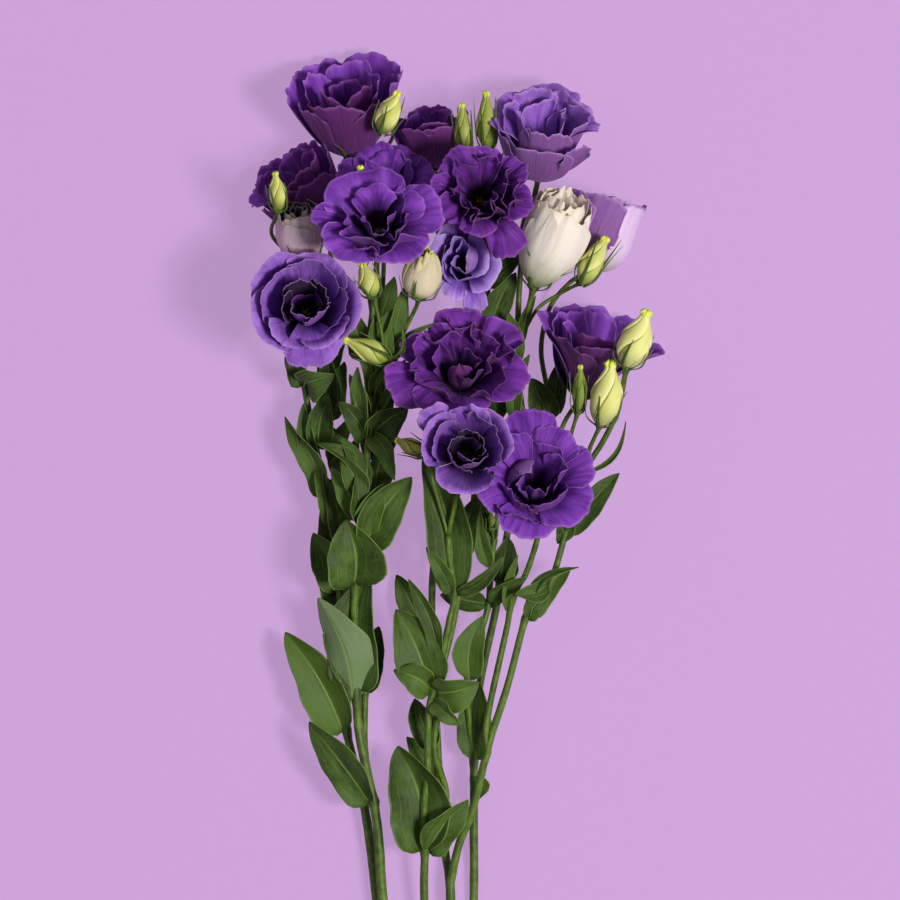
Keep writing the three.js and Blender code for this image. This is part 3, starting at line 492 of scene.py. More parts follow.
# The stems. A shoot is a line of points with its radius at the foot and at the tip, and what it carries
# there. A leaf is [shoot, y of its node, tip x, tip y, tip z, width, bow, roll, sway]: bow lifts the
# middle of the blade, roll turns it about its length in degrees, and sway bends it sideways. Sprays are
# the small leaves and bracts.
stems = {
  "stem_left_back": {
    "shoots": {
      "main": {"carries": "flower_left", "radius": [3, 1.7], "path": [
        [-33, 3, 2.35], [-35.5, 40, 2.35], [-37.5, 62, 3.6], [-43, 104, 8], [-52, 143, 10], [-52, 164, 11],
        [-55, 205, 13], [-59, 248, 15], [-67.5, 286, 18], [-73, 317, 22], [-74, 338, 26],
        [-72.5, 353, 38]]},
      "inner": {"carries": "flower_upper_left", "radius": [2, 1.5], "path": [
        [-54, 196, 12], [-55, 235, 12], [-56.5, 272, 12], [-62, 297, 12], [-64, 318, 10], [-62, 345, 10],
        [-60, 375, 14], [-61, 397, 19]]},
      "swirl": {"carries": "bud_opening_mauve", "radius": [1.5, 1.3], "path": [
        [-64, 318, 10], [-58, 345, 20], [-62, 366, 31], [-73.5, 383, 38.5]]},
      "tuck": {"carries": "bud_upper_left", "radius": [1.3, 1.1], "path": [
        [-60, 356, 28], [-72, 376, 28], [-89, 392, 38], [-85, 405, 54]]},
    },
    "leaves": [
      ["main", 143, -83, 193, 16, 22, 3, -15, -4],
      ["main", 170, -64, 192, 14, 10, 2, 0, -2],
      ["main", 200, -65, 256, 8, 20, -2, 0, -3],
      ["main", 262, -84, 301, 20, 13, 3, -30, -6],
      ["main", 317, -82, 337, 28, 11, 2, -35, -3],
      ["main", 317, -59, 322, 34, 17, 5, 20, 3],
      ["inner", 272, -64, 300, 22, 11, 2, 20, -2],
      ["inner", 272, -48, 303, 20, 11, 2, -20, 3],
      ["inner", 300, -53, 329, 20, 13, 2, 10, 2],
    ],
    "sprays": [
      ["main", 214, -69, 243, 18, 17, 3, -10, -3],
      ["main", 272, -74, 308, 24, 10, 2, -20, 2],
      ["inner", 240, -63, 272, 26, 11, 2, 10, -2],
      ["inner", 255, -48, 280, 24, 11, 2, -25, 3],
      ["inner", 318, -52, 344, 18, 10, 2, 0, 2],
      ["inner", 300, -62, 336, 24, 12, 2, -10, -2],
      ["inner", 272, -46, 290, 26, 12, 3, 20, 3],
      ["main", 286, -61, 313, 26, 13, 2, 10, 2],
      ["main", 248, -68, 274, 24, 12, 2, 0, -3],
    ],
  },
  "stem_left_front": {
    "shoots": {
      "main": {"carries": "flower_crest", "radius": [3.1, 1.7], "path": [
        [-27, 0, 7], [-34, 60, 11.5], [-35.7, 86, 14], [-38.5, 108, 17], [-45, 138, 20], [-47, 159, 22],
        [-48, 191, 26], [-47.5, 215, 29], [-43, 243, 33], [-42.6, 262, 35], [-41, 292, 38],
        [-39.5, 311, 40], [-41.5, 330, 42], [-38, 360, 44], [-36.6, 378, 45], [-35.8, 392, 54]]},
      "back": {"carries": "flower_top_left", "radius": [2.2, 1.5], "path": [
        [-38.5, 108, 17], [-43, 134, 13.5], [-43, 163, 13], [-44, 200, 16], [-41, 240, 18],
        [-36.5, 281, 22], [-35.5, 305, 24], [-38, 345, 22], [-44, 385, 16], [-49, 420, 14],
        [-49, 434, 16]]},
      "middle": {"carries": "flower_behind", "radius": [1.4, 1.3], "path": [
        [-37, 330, 23], [-34, 362, 22], [-33, 390, 18], [-32, 405, 22]]},
      "cream": {"carries": "bud_opening_cream", "radius": [1.5, 1.2], "path": [
        [-40.5, 298, 38], [-33, 318, 42], [-25, 340, 46], [-17, 356, 55], [-15.5, 361, 62]]},
      "low": {"carries": "bud_under_crest", "radius": [1.2, 1.1], "path": [
        [-31, 322, 46], [-34, 342, 54], [-38, 362, 59]]},
      "peep": {"carries": "bud_peep", "radius": [1.2, 1], "path": [
        [-38, 360, 44], [-45, 385, 48], [-47, 405, 55]]},
      "top": {"carries": "bud_top_left", "radius": [1.2, 1.1], "path": [
        [-48, 412, 14], [-38, 428, 12], [-29, 442, 20], [-30, 446, 38], [-34, 444, 52]]},
    },
    "leaves": [
      ["main", 108, -71, 148, 26, 20, 5, -30, -4],
      ["main", 160, -66, 211, 34, 23, -3, 168, 5],
      ["main", 164, -41, 223, 31, 25, -2, 0, 6],
      ["main", 217, -52, 250, 44, 28, 3, 0, -3],
      ["main", 237, -19, 271, 40, 20, 3, 15, 4],
      ["main", 262, -54, 292, 40, 10, 2, 30, -2],
      ["main", 292, -47, 326, 48, 12, 2, -50, -3],
      ["main", 292, -21, 306, 46, 16, 3, 20, 3],
      ["main", 330, -52, 357, 46, 12, 2, -20, -2],
      ["back", 163, -36, 196, 8, 14, -2, 0, 2],
      ["back", 281, -27, 303, 22, 12, 2, 0, 2],
      ["back", 345, -28, 372, 26, 11, 2, 0, 0],
      ["cream", 318, -30, 348, 52, 8, 2, 0, 0],
    ],
    "sprays": [
      ["main", 250, -60, 276, 38, 11, 2, -20, -2],
      ["main", 247, -46, 273, 44, 12, 2, 25, 2],
      ["main", 270, -66, 289, 42, 8, 2, 30, -2],
      ["main", 290, -56, 309, 44, 11, 3, -20, -4],
      ["main", 294, -28, 270, 44, 10, 3, 20, 4],
      ["main", 306, -34, 338, 40, 9, 2, 10, 2],
      ["back", 300, -40, 334, 26, 10, 2, 0, -2],
      ["back", 322, -30, 350, 30, 9, 2, 10, 2],
      ["cream", 330, -21, 369, 50, 9, 2, 20, 2],
      ["cream", 306, -22, 330, 44, 8, 2, 10, 2],
      ["cream", 318, -38, 352, 56, 3.4, 2, 0, 4],
      ["cream", 326, -8, 348, 56, 4.5, 2, 0, 5],
      ["main", 311, -54, 344, 50, 5, 2, 0, -5],
      ["main", 328, -27, 356, 50, 8, 2, 10, 3],
      ["low", 330, -24, 345, 58, 2.6, 2, 0, -5],
      ["main", 262, -55, 281, 42, 12, 3, -20, -3],
      ["main", 243, -33, 268, 42, 13, 2, 10, 3],
      ["main", 300, -51, 322, 46, 9, 2, -30, -4],
      ["main", 311, -27, 331, 46, 8, 2, 20, 4],
      ["back", 281, -45, 314, 28, 14, 2, 0, -2],
      ["back", 262, -29, 293, 26, 13, 2, 10, 3],
      ["back", 300, -27, 330, 28, 12, 2, 0, 3],
    ],
  },
  "stem_centre_front": {
    "shoots": {
      "main": {"radius": [2.8, 1.7], "path": [
        [-11, 2, 2.3], [-13, 60, 13], [-12.7, 83, 18], [-13, 105, 22], [-11.5, 122, 25], [-10.8, 152, 31],
        [-8.5, 164, 34], [-4.6, 179, 36], [-0.3, 200, 38], [2.2, 213, 40], [-0.5, 232, 43], [-1, 242, 45]]},
      "crown": {"carries": "flower_low_left", "radius": [1.6, 1.5], "path": [
        [-1, 242, 45], [3, 260, 50], [7.5, 274, 57], [8, 282, 66]]},
      "second": {"carries": "flower_middle", "radius": [2.2, 1.6], "path": [
        [-12.7, 83, 18], [-3, 105, 24], [-2.7, 116, 24], [-8, 134, 22], [-6.5, 152, 24], [-5, 170, 26],
        [2, 200, 28], [7, 232, 30], [12, 262, 32], [11, 288, 30], [6, 306, 30], [5, 317, 34]]},
      "side": {"carries": "bud_low_left", "radius": [1.2, 1.1], "path": [
        [-1, 242, 45], [-6, 260, 48], [-10, 274, 50], [-12.5, 284, 53]]},
      "left": {"carries": "bud_left", "radius": [1.3, 1.1], "path": [
        [11, 288, 30], [-8, 302, 36], [-22, 315, 44], [-31, 330, 55]]},
    },
    "leaves": [
      ["main", 83, -26, 136, 22, 29, 2, 0, -5],
      ["main", 83, 9, 109, 29, 17, 3, 15, 3],
      ["main", 164, -27, 205, 38, 24, 2, 0, -2],
      ["main", 164, -28, 174, 40, 15, 3, -20, -4],
      ["main", 164, 14, 168, 42, 20, 4, 20, 0],
      ["main", 180, -21, 220, 42, 9, 2, -20, -4],
      ["main", 213, -13, 283, 44, 21, 2, 0, -5],
      ["main", 213, 26, 231, 50, 7, 2, 0, -3],
      ["second", 232, 15, 263, 36, 11, 2, 0, 3],
      ["second", 134, -18, 160, 16, 13, -2, 0, 0],
    ],
    "sprays": [
      ["main", 160, 5, 147, 38, 10, 4, 30, 2],
      ["main", 213, -12, 236, 48, 8, 2, -20, -2],
    ],
  },
  "stem_centre_back": {
    "shoots": {
      "main": {"carries": "flower_dark", "radius": [2.6, 1.6], "path": [
        [-3, 6, 2.1], [0, 58, 3], [-2.6, 84, 5], [-5, 112, 7], [-7, 150, 7], [-9, 190, 8], [-8, 230, 9],
        [0, 265, 11], [14, 300, 13], [19, 335, 15], [19, 360, 18], [17, 385, 22], [15.3, 400, 27],
        [15, 408, 37]]},
      "pale": {"carries": "flower_loose", "radius": [1.5, 1.3], "path": [
        [19, 335, 15], [12, 352, 12], [9, 366, 11], [8, 376, 16]]},
      "far": {"carries": "flower_top_middle", "radius": [1.5, 1.3], "path": [
        [17, 385, 22], [8, 402, 17], [-3, 416, 14], [-7, 427, 17]]},
      "tipLeft": {"carries": "bud_top_middle", "radius": [1.2, 1.1], "path": [
        [16, 392, 24], [16, 412, 22], [11, 426, 27], [7.5, 435, 34]]},
      "tipRight": {"carries": "bud_top_right", "radius": [1.2, 1.1], "path": [
        [16, 408, 22], [20, 424, 26], [19, 436, 36]]},
    },
    "leaves": [
      ["main", 112, -22, 140, 4, 13, 0, 0, -2],
      ["main", 190, -27, 222, 6, 14, 1, 0, 0],
      ["main", 300, -4, 322, 12, 12, 1, 0, -2],
      ["main", 368, 37, 383, 26, 10, 1, 0, 2],
      ["main", 350, 4, 340, 22, 7, 1, 0, 0],
    ],
    "sprays": [
      ["main", 338, 28, 355, 20, 7, 1, 0, 2],
      ["main", 318, 6, 346, 18, 9, 1, 0, -2],
      ["main", 292, 34, 313, 16, 12, 1, 0, 2],
      ["main", 345, 33, 374, 22, 13, 1, 0, 2],
    ],
  },
  "stem_right_front": {
    "shoots": {
      "main": {"carries": "bud_right_upper", "radius": [2.8, 1.6], "path": [
        [3, 0, 8.5], [0.5, 60, 9.5], [0.8, 69, 10], [4.5, 86, 12.5], [10, 100, 16], [14, 114, 19],
        [17, 127, 21.5], [19, 133, 22.5], [20, 139, 23.5], [29, 167, 27], [38, 201, 30], [42, 205, 30.5],
        [50, 217, 31], [56.5, 238, 32], [60, 253, 33], [64, 266, 34], [67.5, 275, 35], [77, 290, 40],
        [84, 306, 50], [88, 327, 62]]},
      "second": {"carries": "flower_low_right", "radius": [2, 1.6], "path": [
        [19, 133, 22.5], [18, 143, 24], [20, 157, 25.5], [28.4, 195, 28], [30, 204, 29], [34, 216, 31],
        [38.5, 224, 34], [44, 242, 38], [43, 252, 41], [41.5, 260, 49]]},
      "lime": {"carries": "bud_right_lower", "radius": [1.4, 1.2], "path": [
        [67.5, 275, 35], [70, 286, 42], [75.5, 298, 51]]},
      "green": {"carries": "bud_right_green", "radius": [1.2, 1.1], "path": [
        [60, 253, 33], [58, 275, 33], [60, 290, 40], [64.2, 305, 50]]},
      "cup": {"carries": "flower_right", "radius": [1.5, 1.4], "path": [
        [58, 245, 32.5], [54, 270, 28], [56, 295, 24], [66, 312, 24]]},
    },
    "leaves": [
      ["main", 202, 61, 226, 22, 13, 1, 10, 3],
      ["main", 201, 64, 226, 42, 5, 2, 0, 9],
      ["main", 217, 33, 213, 40, 10, 2, 0, 2],
      ["main", 243, 85, 273, 34, 12, 2, 15, 2],
    ],
    "sprays": [
      ["main", 274, 88, 299, 38, 2.6, 1, 0, -6],
      ["main", 250, 54, 238, 32, 9, 1, 0, 2],
      ["main", 201, 50, 214, 36, 9, 2, 10, 2],
      ["second", 204, 34, 232, 34, 5, 1, 0, 2],
    ],
  },
  "stem_right_back": {
    "shoots": {
      "main": {"carries": "flower_top_right", "radius": [2.7, 1.6], "path": [
        [10, 3, 2.4], [12, 60, 4], [12, 95, 7], [12, 129, 9], [11.5, 143, 9], [16, 172, 10], [23, 204, 11],
        [25, 218, 11], [30, 250, 11], [37, 290, 11], [34, 330, 11], [36, 380, 11], [42, 410, 13],
        [45, 424, 20]]},
      "second": {"carries": "flower_pale", "radius": [2, 1.5], "path": [
        [12, 129, 9], [9.5, 150, 14], [9, 170, 18], [18.7, 204, 20], [20, 216, 20], [22, 239, 20],
        [27, 270, 20], [31, 300, 20], [32, 325, 22], [36.5, 345, 26], [42, 367, 34]]},
      "outer": {"carries": "flower_far_right", "radius": [1.7, 1.4], "path": [
        [30, 250, 11], [44, 280, 9], [51, 300, 8], [49, 316, 7], [46, 336, 7], [50, 356, 9], [60, 369, 14],
        [70, 375, 20]]},
      "bud": {"carries": "bud_far_right", "radius": [1.2, 1.1], "path": [
        [36, 342, 25], [44, 356, 22], [56, 364, 24], [66, 369, 36]]},
      "tiny": {"carries": "bud_tiny", "radius": [0.9, 0.8], "path": [[22, 239, 20], [20.8, 246.5, 26.6]]},
    },
    "leaves": [
      ["main", 129, 15, 167, 13, 17, 1, 0, 2],
      ["main", 218, 29, 241, 16, 14, 1, 0, 0],
      ["main", 250, 48, 268, 12, 12, 1, 0, 0],
      ["second", 170, 16, 201, 24, 15, 1, 0, 3],
      ["second", 207, -5, 212, 18, 11, 1, 0, 0],
      ["second", 207, 38, 221, 38, 8, 2, 0, 2],
      ["second", 239, 14, 262, 22, 10, 1, 0, 0],
      ["outer", 300, 41, 321, 16, 14, 1, 0, 0],
      ["outer", 303, 55, 329, 15, 11, 1, 0, 0],
    ],
    "sprays": [
      ["main", 120, 13, 108, 12, 9, 2, 0, 3],
      ["second", 226, 15, 254, 26, 8, 1, 0, 2],
      ["second", 340, 43, 362, 30, 5, 1, 0, 2],
      ["second", 325, 29, 354, 28, 9, 1, 0, -3],
      ["second", 270, 41, 296, 24, 13, 1, 10, 2],
      ["second", 300, 40, 333, 24, 8, 1, 0, 3],
    ],
  },
}

# A flower has the middle of its mouth, its radius, its finish and its petals, outermost first, each a row
# of [kind, bearing in degrees, reach, rise, half its span in degrees, height of its waves]: reach is a
# share of the radius and rise of the length, and a seventh entry gives the petal a finish of its own.
# stretch draws the flower out along x, y and z, paintedShade darkens it with painted shade where others
# stand over it, and seed picks its own waves.
flowers = {
  # On flower_top_left the far petals, whose inner faces the lamp lights, take the lighter violet finish as
  # painted light; the near ones stay deep.
  "flower_top_left": {"mouth": [-53, 470, 35], "radius": 27.5, "finish": "deep", "seed": 3, "petals": [
    ["vase", 58, 1.14, 1.02, 44, 0.9, "violet"], ["vase", 122, 1.1, 0.99, 34, 0.8, "violet"],
    ["vase", 8, 1.02, 0.96, 32, 1.3, "violet"], ["vase", 170, 1.06, 0.98, 32, 0.7, "violet"],
    ["vase", 214, 0.95, 0.88, 28, 0.8], ["vase", -42, 0.95, 0.84, 36, 0.8],
    ["vase", -108, 0.9, 0.92, 46, 0.5], ["wall", 80, 0.76, 1.02, 44, 1.0, "violet"],
    ["wall", 150, 0.72, 0.99, 36, 1.0, "violet"], ["up", 20, 0.62, 0.96, 42, 1.4, "violet"],
    ["up", -30, 0.48, 0.96, 50, 1.0], ["up", 215, 0.5, 0.92, 44, 1.0], ["up", 80, 0.36, 0.86, 60, 1.3]]},
  "flower_top_middle": {"mouth": [-10.5, 453, 24], "radius": 20, "finish": "deep", "seed": 5, "paintedShade": 0.1,
                        "petals": [
    ["wall", 90, 1.0, 1.0, 44, 1.2], ["wall", 160, 1.0, 0.96, 36, 1.0], ["wall", 20, 1.0, 0.96, 36, 1.0],
    ["vase", 235, 0.98, 0.9, 36, 0.8], ["vase", -70, 0.96, 0.88, 48, 0.8], ["up", 60, 0.7, 0.96, 34, 1.4],
    ["up", 130, 0.66, 0.95, 32, 1.4], ["up", -80, 0.6, 0.92, 50, 1.2], ["up", 0, 0.5, 0.92, 34, 1.2]]},
  "flower_top_right": {"mouth": [47.5, 451, 45], "radius": 25.5, "finish": "lilac", "seed": 7, "petals": [
    ["broad", 158, 1.1, 0.98, 42, 0.8], ["broad", 84, 1.2, 0.97, 42, 0.9],
    ["broad", 14, 1.1, 0.96, 36, 1.1], ["vase", -48, 1.0, 0.86, 24, 2.2],
    ["wall", -106, 0.96, 0.96, 54, 0.5], ["wall", 200, 0.98, 0.97, 34, 0.6],
    ["wall", 166, 0.82, 1.02, 42, 0.7], ["wall", 104, 0.84, 1.04, 36, 1.4],
    ["wall", 52, 0.86, 1.04, 36, 1.5], ["up", 6, 0.8, 1.05, 36, 2.0], ["tube", -92, 0.66, 1.02, 62, 0.8],
    ["up", 88, 0.54, 0.98, 46, 1.6], ["up", 196, 0.56, 1.02, 44, 0.8], ["up", 30, 0.46, 0.94, 46, 1.6]]},
  "flower_upper_left": {"mouth": [-81, 426, 32], "radius": 26, "finish": "deep", "seed": 11, "paintedShade": 0.05,
                        "petals": [
    ["broad", 172, 1.02, 0.9, 30, 1.0, "violet"], ["wall", 122, 1.0, 1.0, 36, 1.0],
    ["wall", 72, 0.96, 1.0, 36, 1.0], ["wall", 15, 0.86, 0.98, 34, 1.0], ["wall", 232, 0.98, 0.86, 34, 0.8],
    ["wall", -60, 0.84, 0.86, 40, 0.8], ["wall", 150, 0.74, 1.0, 42, 1.3],
    ["wall", 85, 0.74, 1.02, 42, 1.3], ["up", 222, 0.6, 0.95, 44, 1.2], ["up", 20, 0.55, 0.98, 40, 1.2],
    ["up", -60, 0.44, 0.92, 50, 1.0], ["up", 160, 0.4, 0.96, 44, 1.2]]},
  "flower_behind": {"mouth": [-31.5, 424, 43.5], "radius": 22, "finish": "violet", "seed": 13, "petals": [
    ["broad", 170, 1.16, 0.9, 24, 0.5], ["broad", 118, 1.0, 0.98, 36, 0.8],
    ["broad", 62, 1.02, 0.96, 36, 0.8], ["broad", 10, 1.06, 0.94, 34, 0.9],
    ["broad", -60, 1.0, 0.88, 40, 0.8], ["broad", 235, 1.0, 0.88, 36, 0.8],
    ["broad", 92, 0.72, 1.02, 42, 1.0], ["up", 30, 0.6, 1.02, 36, 1.3], ["up", 150, 0.56, 1.0, 34, 1.3],
    ["up", -90, 0.4, 1.0, 60, 1.2]]},
  "flower_crest": {"mouth": [-36.5, 401, 84], "radius": 33, "finish": "violet", "seed": 17,
                   "stretch": [1, 0.82, 1], "petals": [
    ["broad", 109, 0.98, 0.95, 54, 0.9], ["broad", 14, 1.02, 0.92, 36, 0.8],
    ["broad", -54, 0.97, 0.9, 38, 1.0], ["broad", 228, 0.95, 0.9, 38, 0.9],
    ["broad", 175, 1.0, 0.86, 17, 1.2], ["broad", 30, 0.76, 1.0, 34, 1.0],
    ["broad", 104, 0.58, 1.03, 44, 1.2], ["up", 38, 0.5, 1.06, 40, 0.9], ["up", 176, 0.48, 1.04, 18, 1.0],
    ["up", 236, 0.58, 1.06, 40, 1.9], ["up", -38, 0.5, 1.08, 34, 2.3], ["up", -68, 0.72, 1.04, 28, 2.4],
    ["up", 258, 0.72, 1.02, 12, 1.6], ["up", 245, 0.28, 1.0, 58, 1.7], ["up", -30, 0.27, 1.0, 44, 1.7]]},
  "flower_dark": {"mouth": [15, 414, 70], "radius": 27, "finish": "deep", "seed": 19, "petals": [
    ["broad", 130, 0.95, 0.96, 36, 1.2], ["broad", 78, 0.86, 0.98, 30, 1.4],
    ["broad", 32, 1.0, 0.95, 22, 1.4], ["broad", -14, 1.02, 0.93, 26, 1.2],
    ["broad", 174, 0.98, 0.92, 18, 1.5], ["lax", -62, 1.2, 1.0, 20, 1.6],
    ["broad", 212, 0.85, 0.9, 26, 1.4], ["broad", -96, 0.82, 0.9, 30, 1.4],
    ["up", 128, 0.64, 1.04, 25, 1.5], ["up", 76, 0.66, 1.05, 24, 1.6], ["up", 33, 0.64, 1.05, 14, 1.6],
    ["up", 4, 0.74, 1.03, 20, 1.8], ["up", 168, 0.5, 1.02, 22, 1.6], ["up", 205, 0.46, 1.03, 26, 2.0],
    ["up", -42, 0.34, 1.04, 28, 2.4], ["up", -72, 0.58, 1.03, 26, 2.4], ["up", -30, 0.72, 1.02, 24, 2.4],
    ["up", -104, 0.44, 1.02, 24, 2.2], ["up", -12, 0.52, 1.04, 18, 2.2]]},
  "flower_loose": {"mouth": [7, 381, 46], "radius": 24, "finish": "blue", "seed": 23,
                   "stretch": [0.8, 1, 1], "petals": [
    ["broad", 104, 1.2, 0.92, 36, 0.9], ["broad", -6, 0.96, 0.98, 60, 0.3],
    ["broad", 182, 0.92, 0.94, 46, 0.8], ["broad", 240, 0.9, 0.92, 34, 0.8],
    ["lax", -74, 1.12, 1.0, 19, 0.8], ["wall", 122, 0.84, 1.0, 42, 1.2], ["up", 196, 0.6, 1.02, 52, 1.2],
    ["wall", 66, 0.7, 1.03, 40, 1.1], ["broad", 8, 0.66, 1.05, 60, 0.3], ["hood", -5, 0.44, 1.0, 76, 0.5],
    ["up", 150, 0.5, 1.04, 56, 1.0], ["up", 215, 0.3, 1.05, 60, 1.0], ["up", -100, 0.46, 1.02, 56, 0.8],
    ["up", 80, 0.3, 1.04, 50, 0.9]]},
  "flower_left": {"mouth": [-71.5, 358, 71], "radius": 27, "finish": "lilac", "seed": 29, "petals": [
    ["shelf", 204, 1.06, 0.94, 44, 0.3], ["shelf", 136, 1.1, 0.93, 36, 0.3],
    ["shelf", 68, 1.0, 0.96, 44, 0.4], ["shelf", -6, 1.05, 0.95, 42, 0.4],
    ["lax", -80, 1.12, 1.02, 32, 0.6], ["shelf", 240, 0.88, 1.0, 34, 0.6],
    ["shelf", -58, 0.9, 1.0, 38, 0.8], ["wall", 160, 0.8, 1.04, 52, 0.4], ["wall", 74, 0.78, 1.04, 50, 0.4],
    ["wall", -12, 0.72, 1.05, 42, 0.7], ["tube", 108, 0.48, 1.05, 50, 0.5, "dusk"],
    ["tube", 40, 0.46, 1.06, 42, 0.7, "dusk"], ["tube", 176, 0.46, 1.05, 40, 0.5, "dusk"],
    ["tube", -40, 0.4, 1.09, 50, 1.2, "dusk"], ["tube", 228, 0.3, 1.08, 60, 1.4, "dusk"],
    ["up", 20, 0.3, 0.5, 60, 0.6, "deep"], ["up", 150, 0.3, 0.45, 60, 0.6, "deep"]]},
  "flower_pale": {"mouth": [58, 410, 50], "radius": 15, "finish": "cream", "seed": 31, "petals": [
    ["rose", 60, 1.0, 0.99, 84, 0.6], ["rose", -20, 1.02, 0.96, 84, 0.8], ["rose", 165, 1.0, 0.96, 80, 0.8],
    ["rose", -110, 1.07, 0.92, 74, 0.8], ["rose", 20, 0.84, 1.03, 80, 1.8],
    ["rose", 130, 0.82, 1.02, 76, 1.8], ["rose", -90, 0.78, 1.0, 80, 1.6],
    ["rose", 60, 0.56, 1.03, 90, 2.2], ["rose", 200, 0.52, 1.02, 90, 2.2]]},
  "flower_far_right": {"mouth": [77, 412, 18], "radius": 20, "finish": "pale", "seed": 37, "petals": [
    ["funnel", 80, 1.0, 1.0, 66, 1.2, "lilac"], ["bell", 0, 1.05, 0.98, 54, 0.8],
    ["bell", 180, 1.0, 0.99, 54, 0.8, "lilac"], ["bell", -50, 1.02, 0.97, 56, 0.8],
    ["bell", -125, 1.0, 0.96, 48, 0.8, "lilac"], ["up", 80, 0.7, 1.0, 44, 1.8],
    ["up", -60, 0.66, 0.98, 50, 1.8], ["up", 190, 0.6, 0.98, 40, 1.8]]},
  "flower_middle": {"mouth": [5, 329, 64], "radius": 34, "finish": "deep", "seed": 41,
                    "stretch": [1, 0.86, 1], "petals": [
    ["broad", 208, 1.18, 0.92, 27, 0.9], ["broad", 158, 0.94, 0.93, 20, 1.1],
    ["broad", 124, 0.86, 0.95, 18, 1.4], ["broad", 88, 1.03, 0.95, 27, 1.2],
    ["broad", 38, 1.1, 0.94, 25, 1.0], ["broad", -22, 1.05, 0.93, 33, 0.9],
    ["broad", -92, 0.96, 0.9, 36, 1.0], ["broad", 238, 0.98, 0.9, 24, 1.0],
    ["up", 224, 0.72, 1.05, 36, 1.5], ["up", 162, 0.72, 1.05, 28, 1.3], ["up", 124, 0.56, 1.06, 24, 1.8],
    ["up", 98, 0.72, 1.04, 20, 2.0], ["up", 74, 0.66, 1.04, 16, 1.8], ["up", 46, 0.64, 1.05, 28, 1.1],
    ["up", 0, 0.48, 1.08, 15, 1.5], ["up", -44, 0.74, 1.06, 30, 1.5], ["up", 22, 0.8, 1.03, 18, 1.2],
    ["up", 150, 0.4, 1.02, 34, 1.2], ["hood", -96, 0.24, 0.9, 66, 0.9], ["up", -60, 0.34, 0.98, 40, 1.0],
    ["up", 40, 0.3, 0.9, 40, 1.0]]},
  "flower_right": {"mouth": [74.5, 346, 36], "radius": 29.5, "finish": "violet", "seed": 43, "petals": [
    ["funnel", 108, 1.04, 1.0, 44, 0.9], ["funnel", 58, 1.04, 0.98, 40, 0.9],
    ["funnel", 172, 1.08, 0.98, 38, 0.8], ["funnel", -4, 1.2, 0.9, 34, 0.9],
    ["funnel", -72, 0.96, 0.94, 48, 0.5, "deep"], ["funnel", 232, 1.02, 0.92, 40, 0.6, "deep"],
    ["wall", 138, 0.74, 1.02, 38, 1.0], ["wall", 92, 0.72, 1.04, 34, 1.3],
    ["wall", 44, 0.74, 1.02, 36, 1.0], ["up", -90, 0.5, 0.96, 60, 0.8, "deep"],
    ["up", 180, 0.56, 0.98, 36, 1.0]]},
  "flower_low_left": {"mouth": [8, 286, 98], "radius": 24, "finish": "lilac", "seed": 47, "paintedShade": 0.08,
                      "petals": [
    ["shelf", -96, 0.96, 0.96, 46, 0.6], ["shelf", 157, 0.94, 0.97, 44, 0.7],
    ["shelf", 24, 0.99, 0.96, 46, 1.1], ["shelf", 84, 0.9, 0.98, 32, 1.4],
    ["broad", 137, 1.16, 0.86, 22, 1.4], ["wall", 152, 0.7, 1.04, 46, 0.8],
    ["wall", 55, 0.74, 1.04, 40, 1.2], ["wall", -8, 0.72, 1.04, 40, 1.2],
    ["tube", 232, 0.44, 1.06, 52, 0.9], ["tube", -55, 0.43, 1.06, 48, 0.9],
    ["tube", 12, 0.41, 1.07, 40, 1.2, "dusk"], ["tube", 70, 0.4, 1.06, 42, 1.0, "dusk"],
    ["tube", 150, 0.35, 1.05, 50, 0.8, "dusk"], ["tube", -96, 0.26, 1.07, 66, 1.0, "dusk"],
    ["up", 40, 0.3, 0.7, 50, 1.0]]},
  "flower_low_right": {"mouth": [41.5, 273, 78], "radius": 29, "finish": "violet", "seed": 53, "petals": [
    ["broad", 96, 1.28, 0.9, 27, 0.5], ["broad", 60, 1.04, 0.96, 31, 0.6],
    ["broad", 20, 1.06, 0.94, 30, 0.8], ["broad", -40, 1.13, 0.94, 36, 0.8],
    ["broad", -98, 1.13, 0.92, 36, 1.0], ["broad", 206, 1.0, 0.94, 28, 1.2],
    ["broad", 150, 0.86, 0.92, 28, 0.8], ["broad", 122, 0.86, 1.06, 26, 0.4],
    ["wall", 246, 0.88, 1.0, 32, 1.2], ["tube", 236, 0.66, 1.06, 44, 1.2],
    ["tube", -60, 0.66, 1.06, 46, 1.2], ["up", 14, 0.52, 1.06, 42, 1.4], ["up", 60, 0.62, 1.03, 44, 1.0],
    ["hood", 142, 0.5, 1.02, 50, 0.5, "lilac"], ["up", 205, 0.3, 1.06, 40, 1.4],
    ["up", -70, 0.32, 0.98, 50, 1.2]]},
}

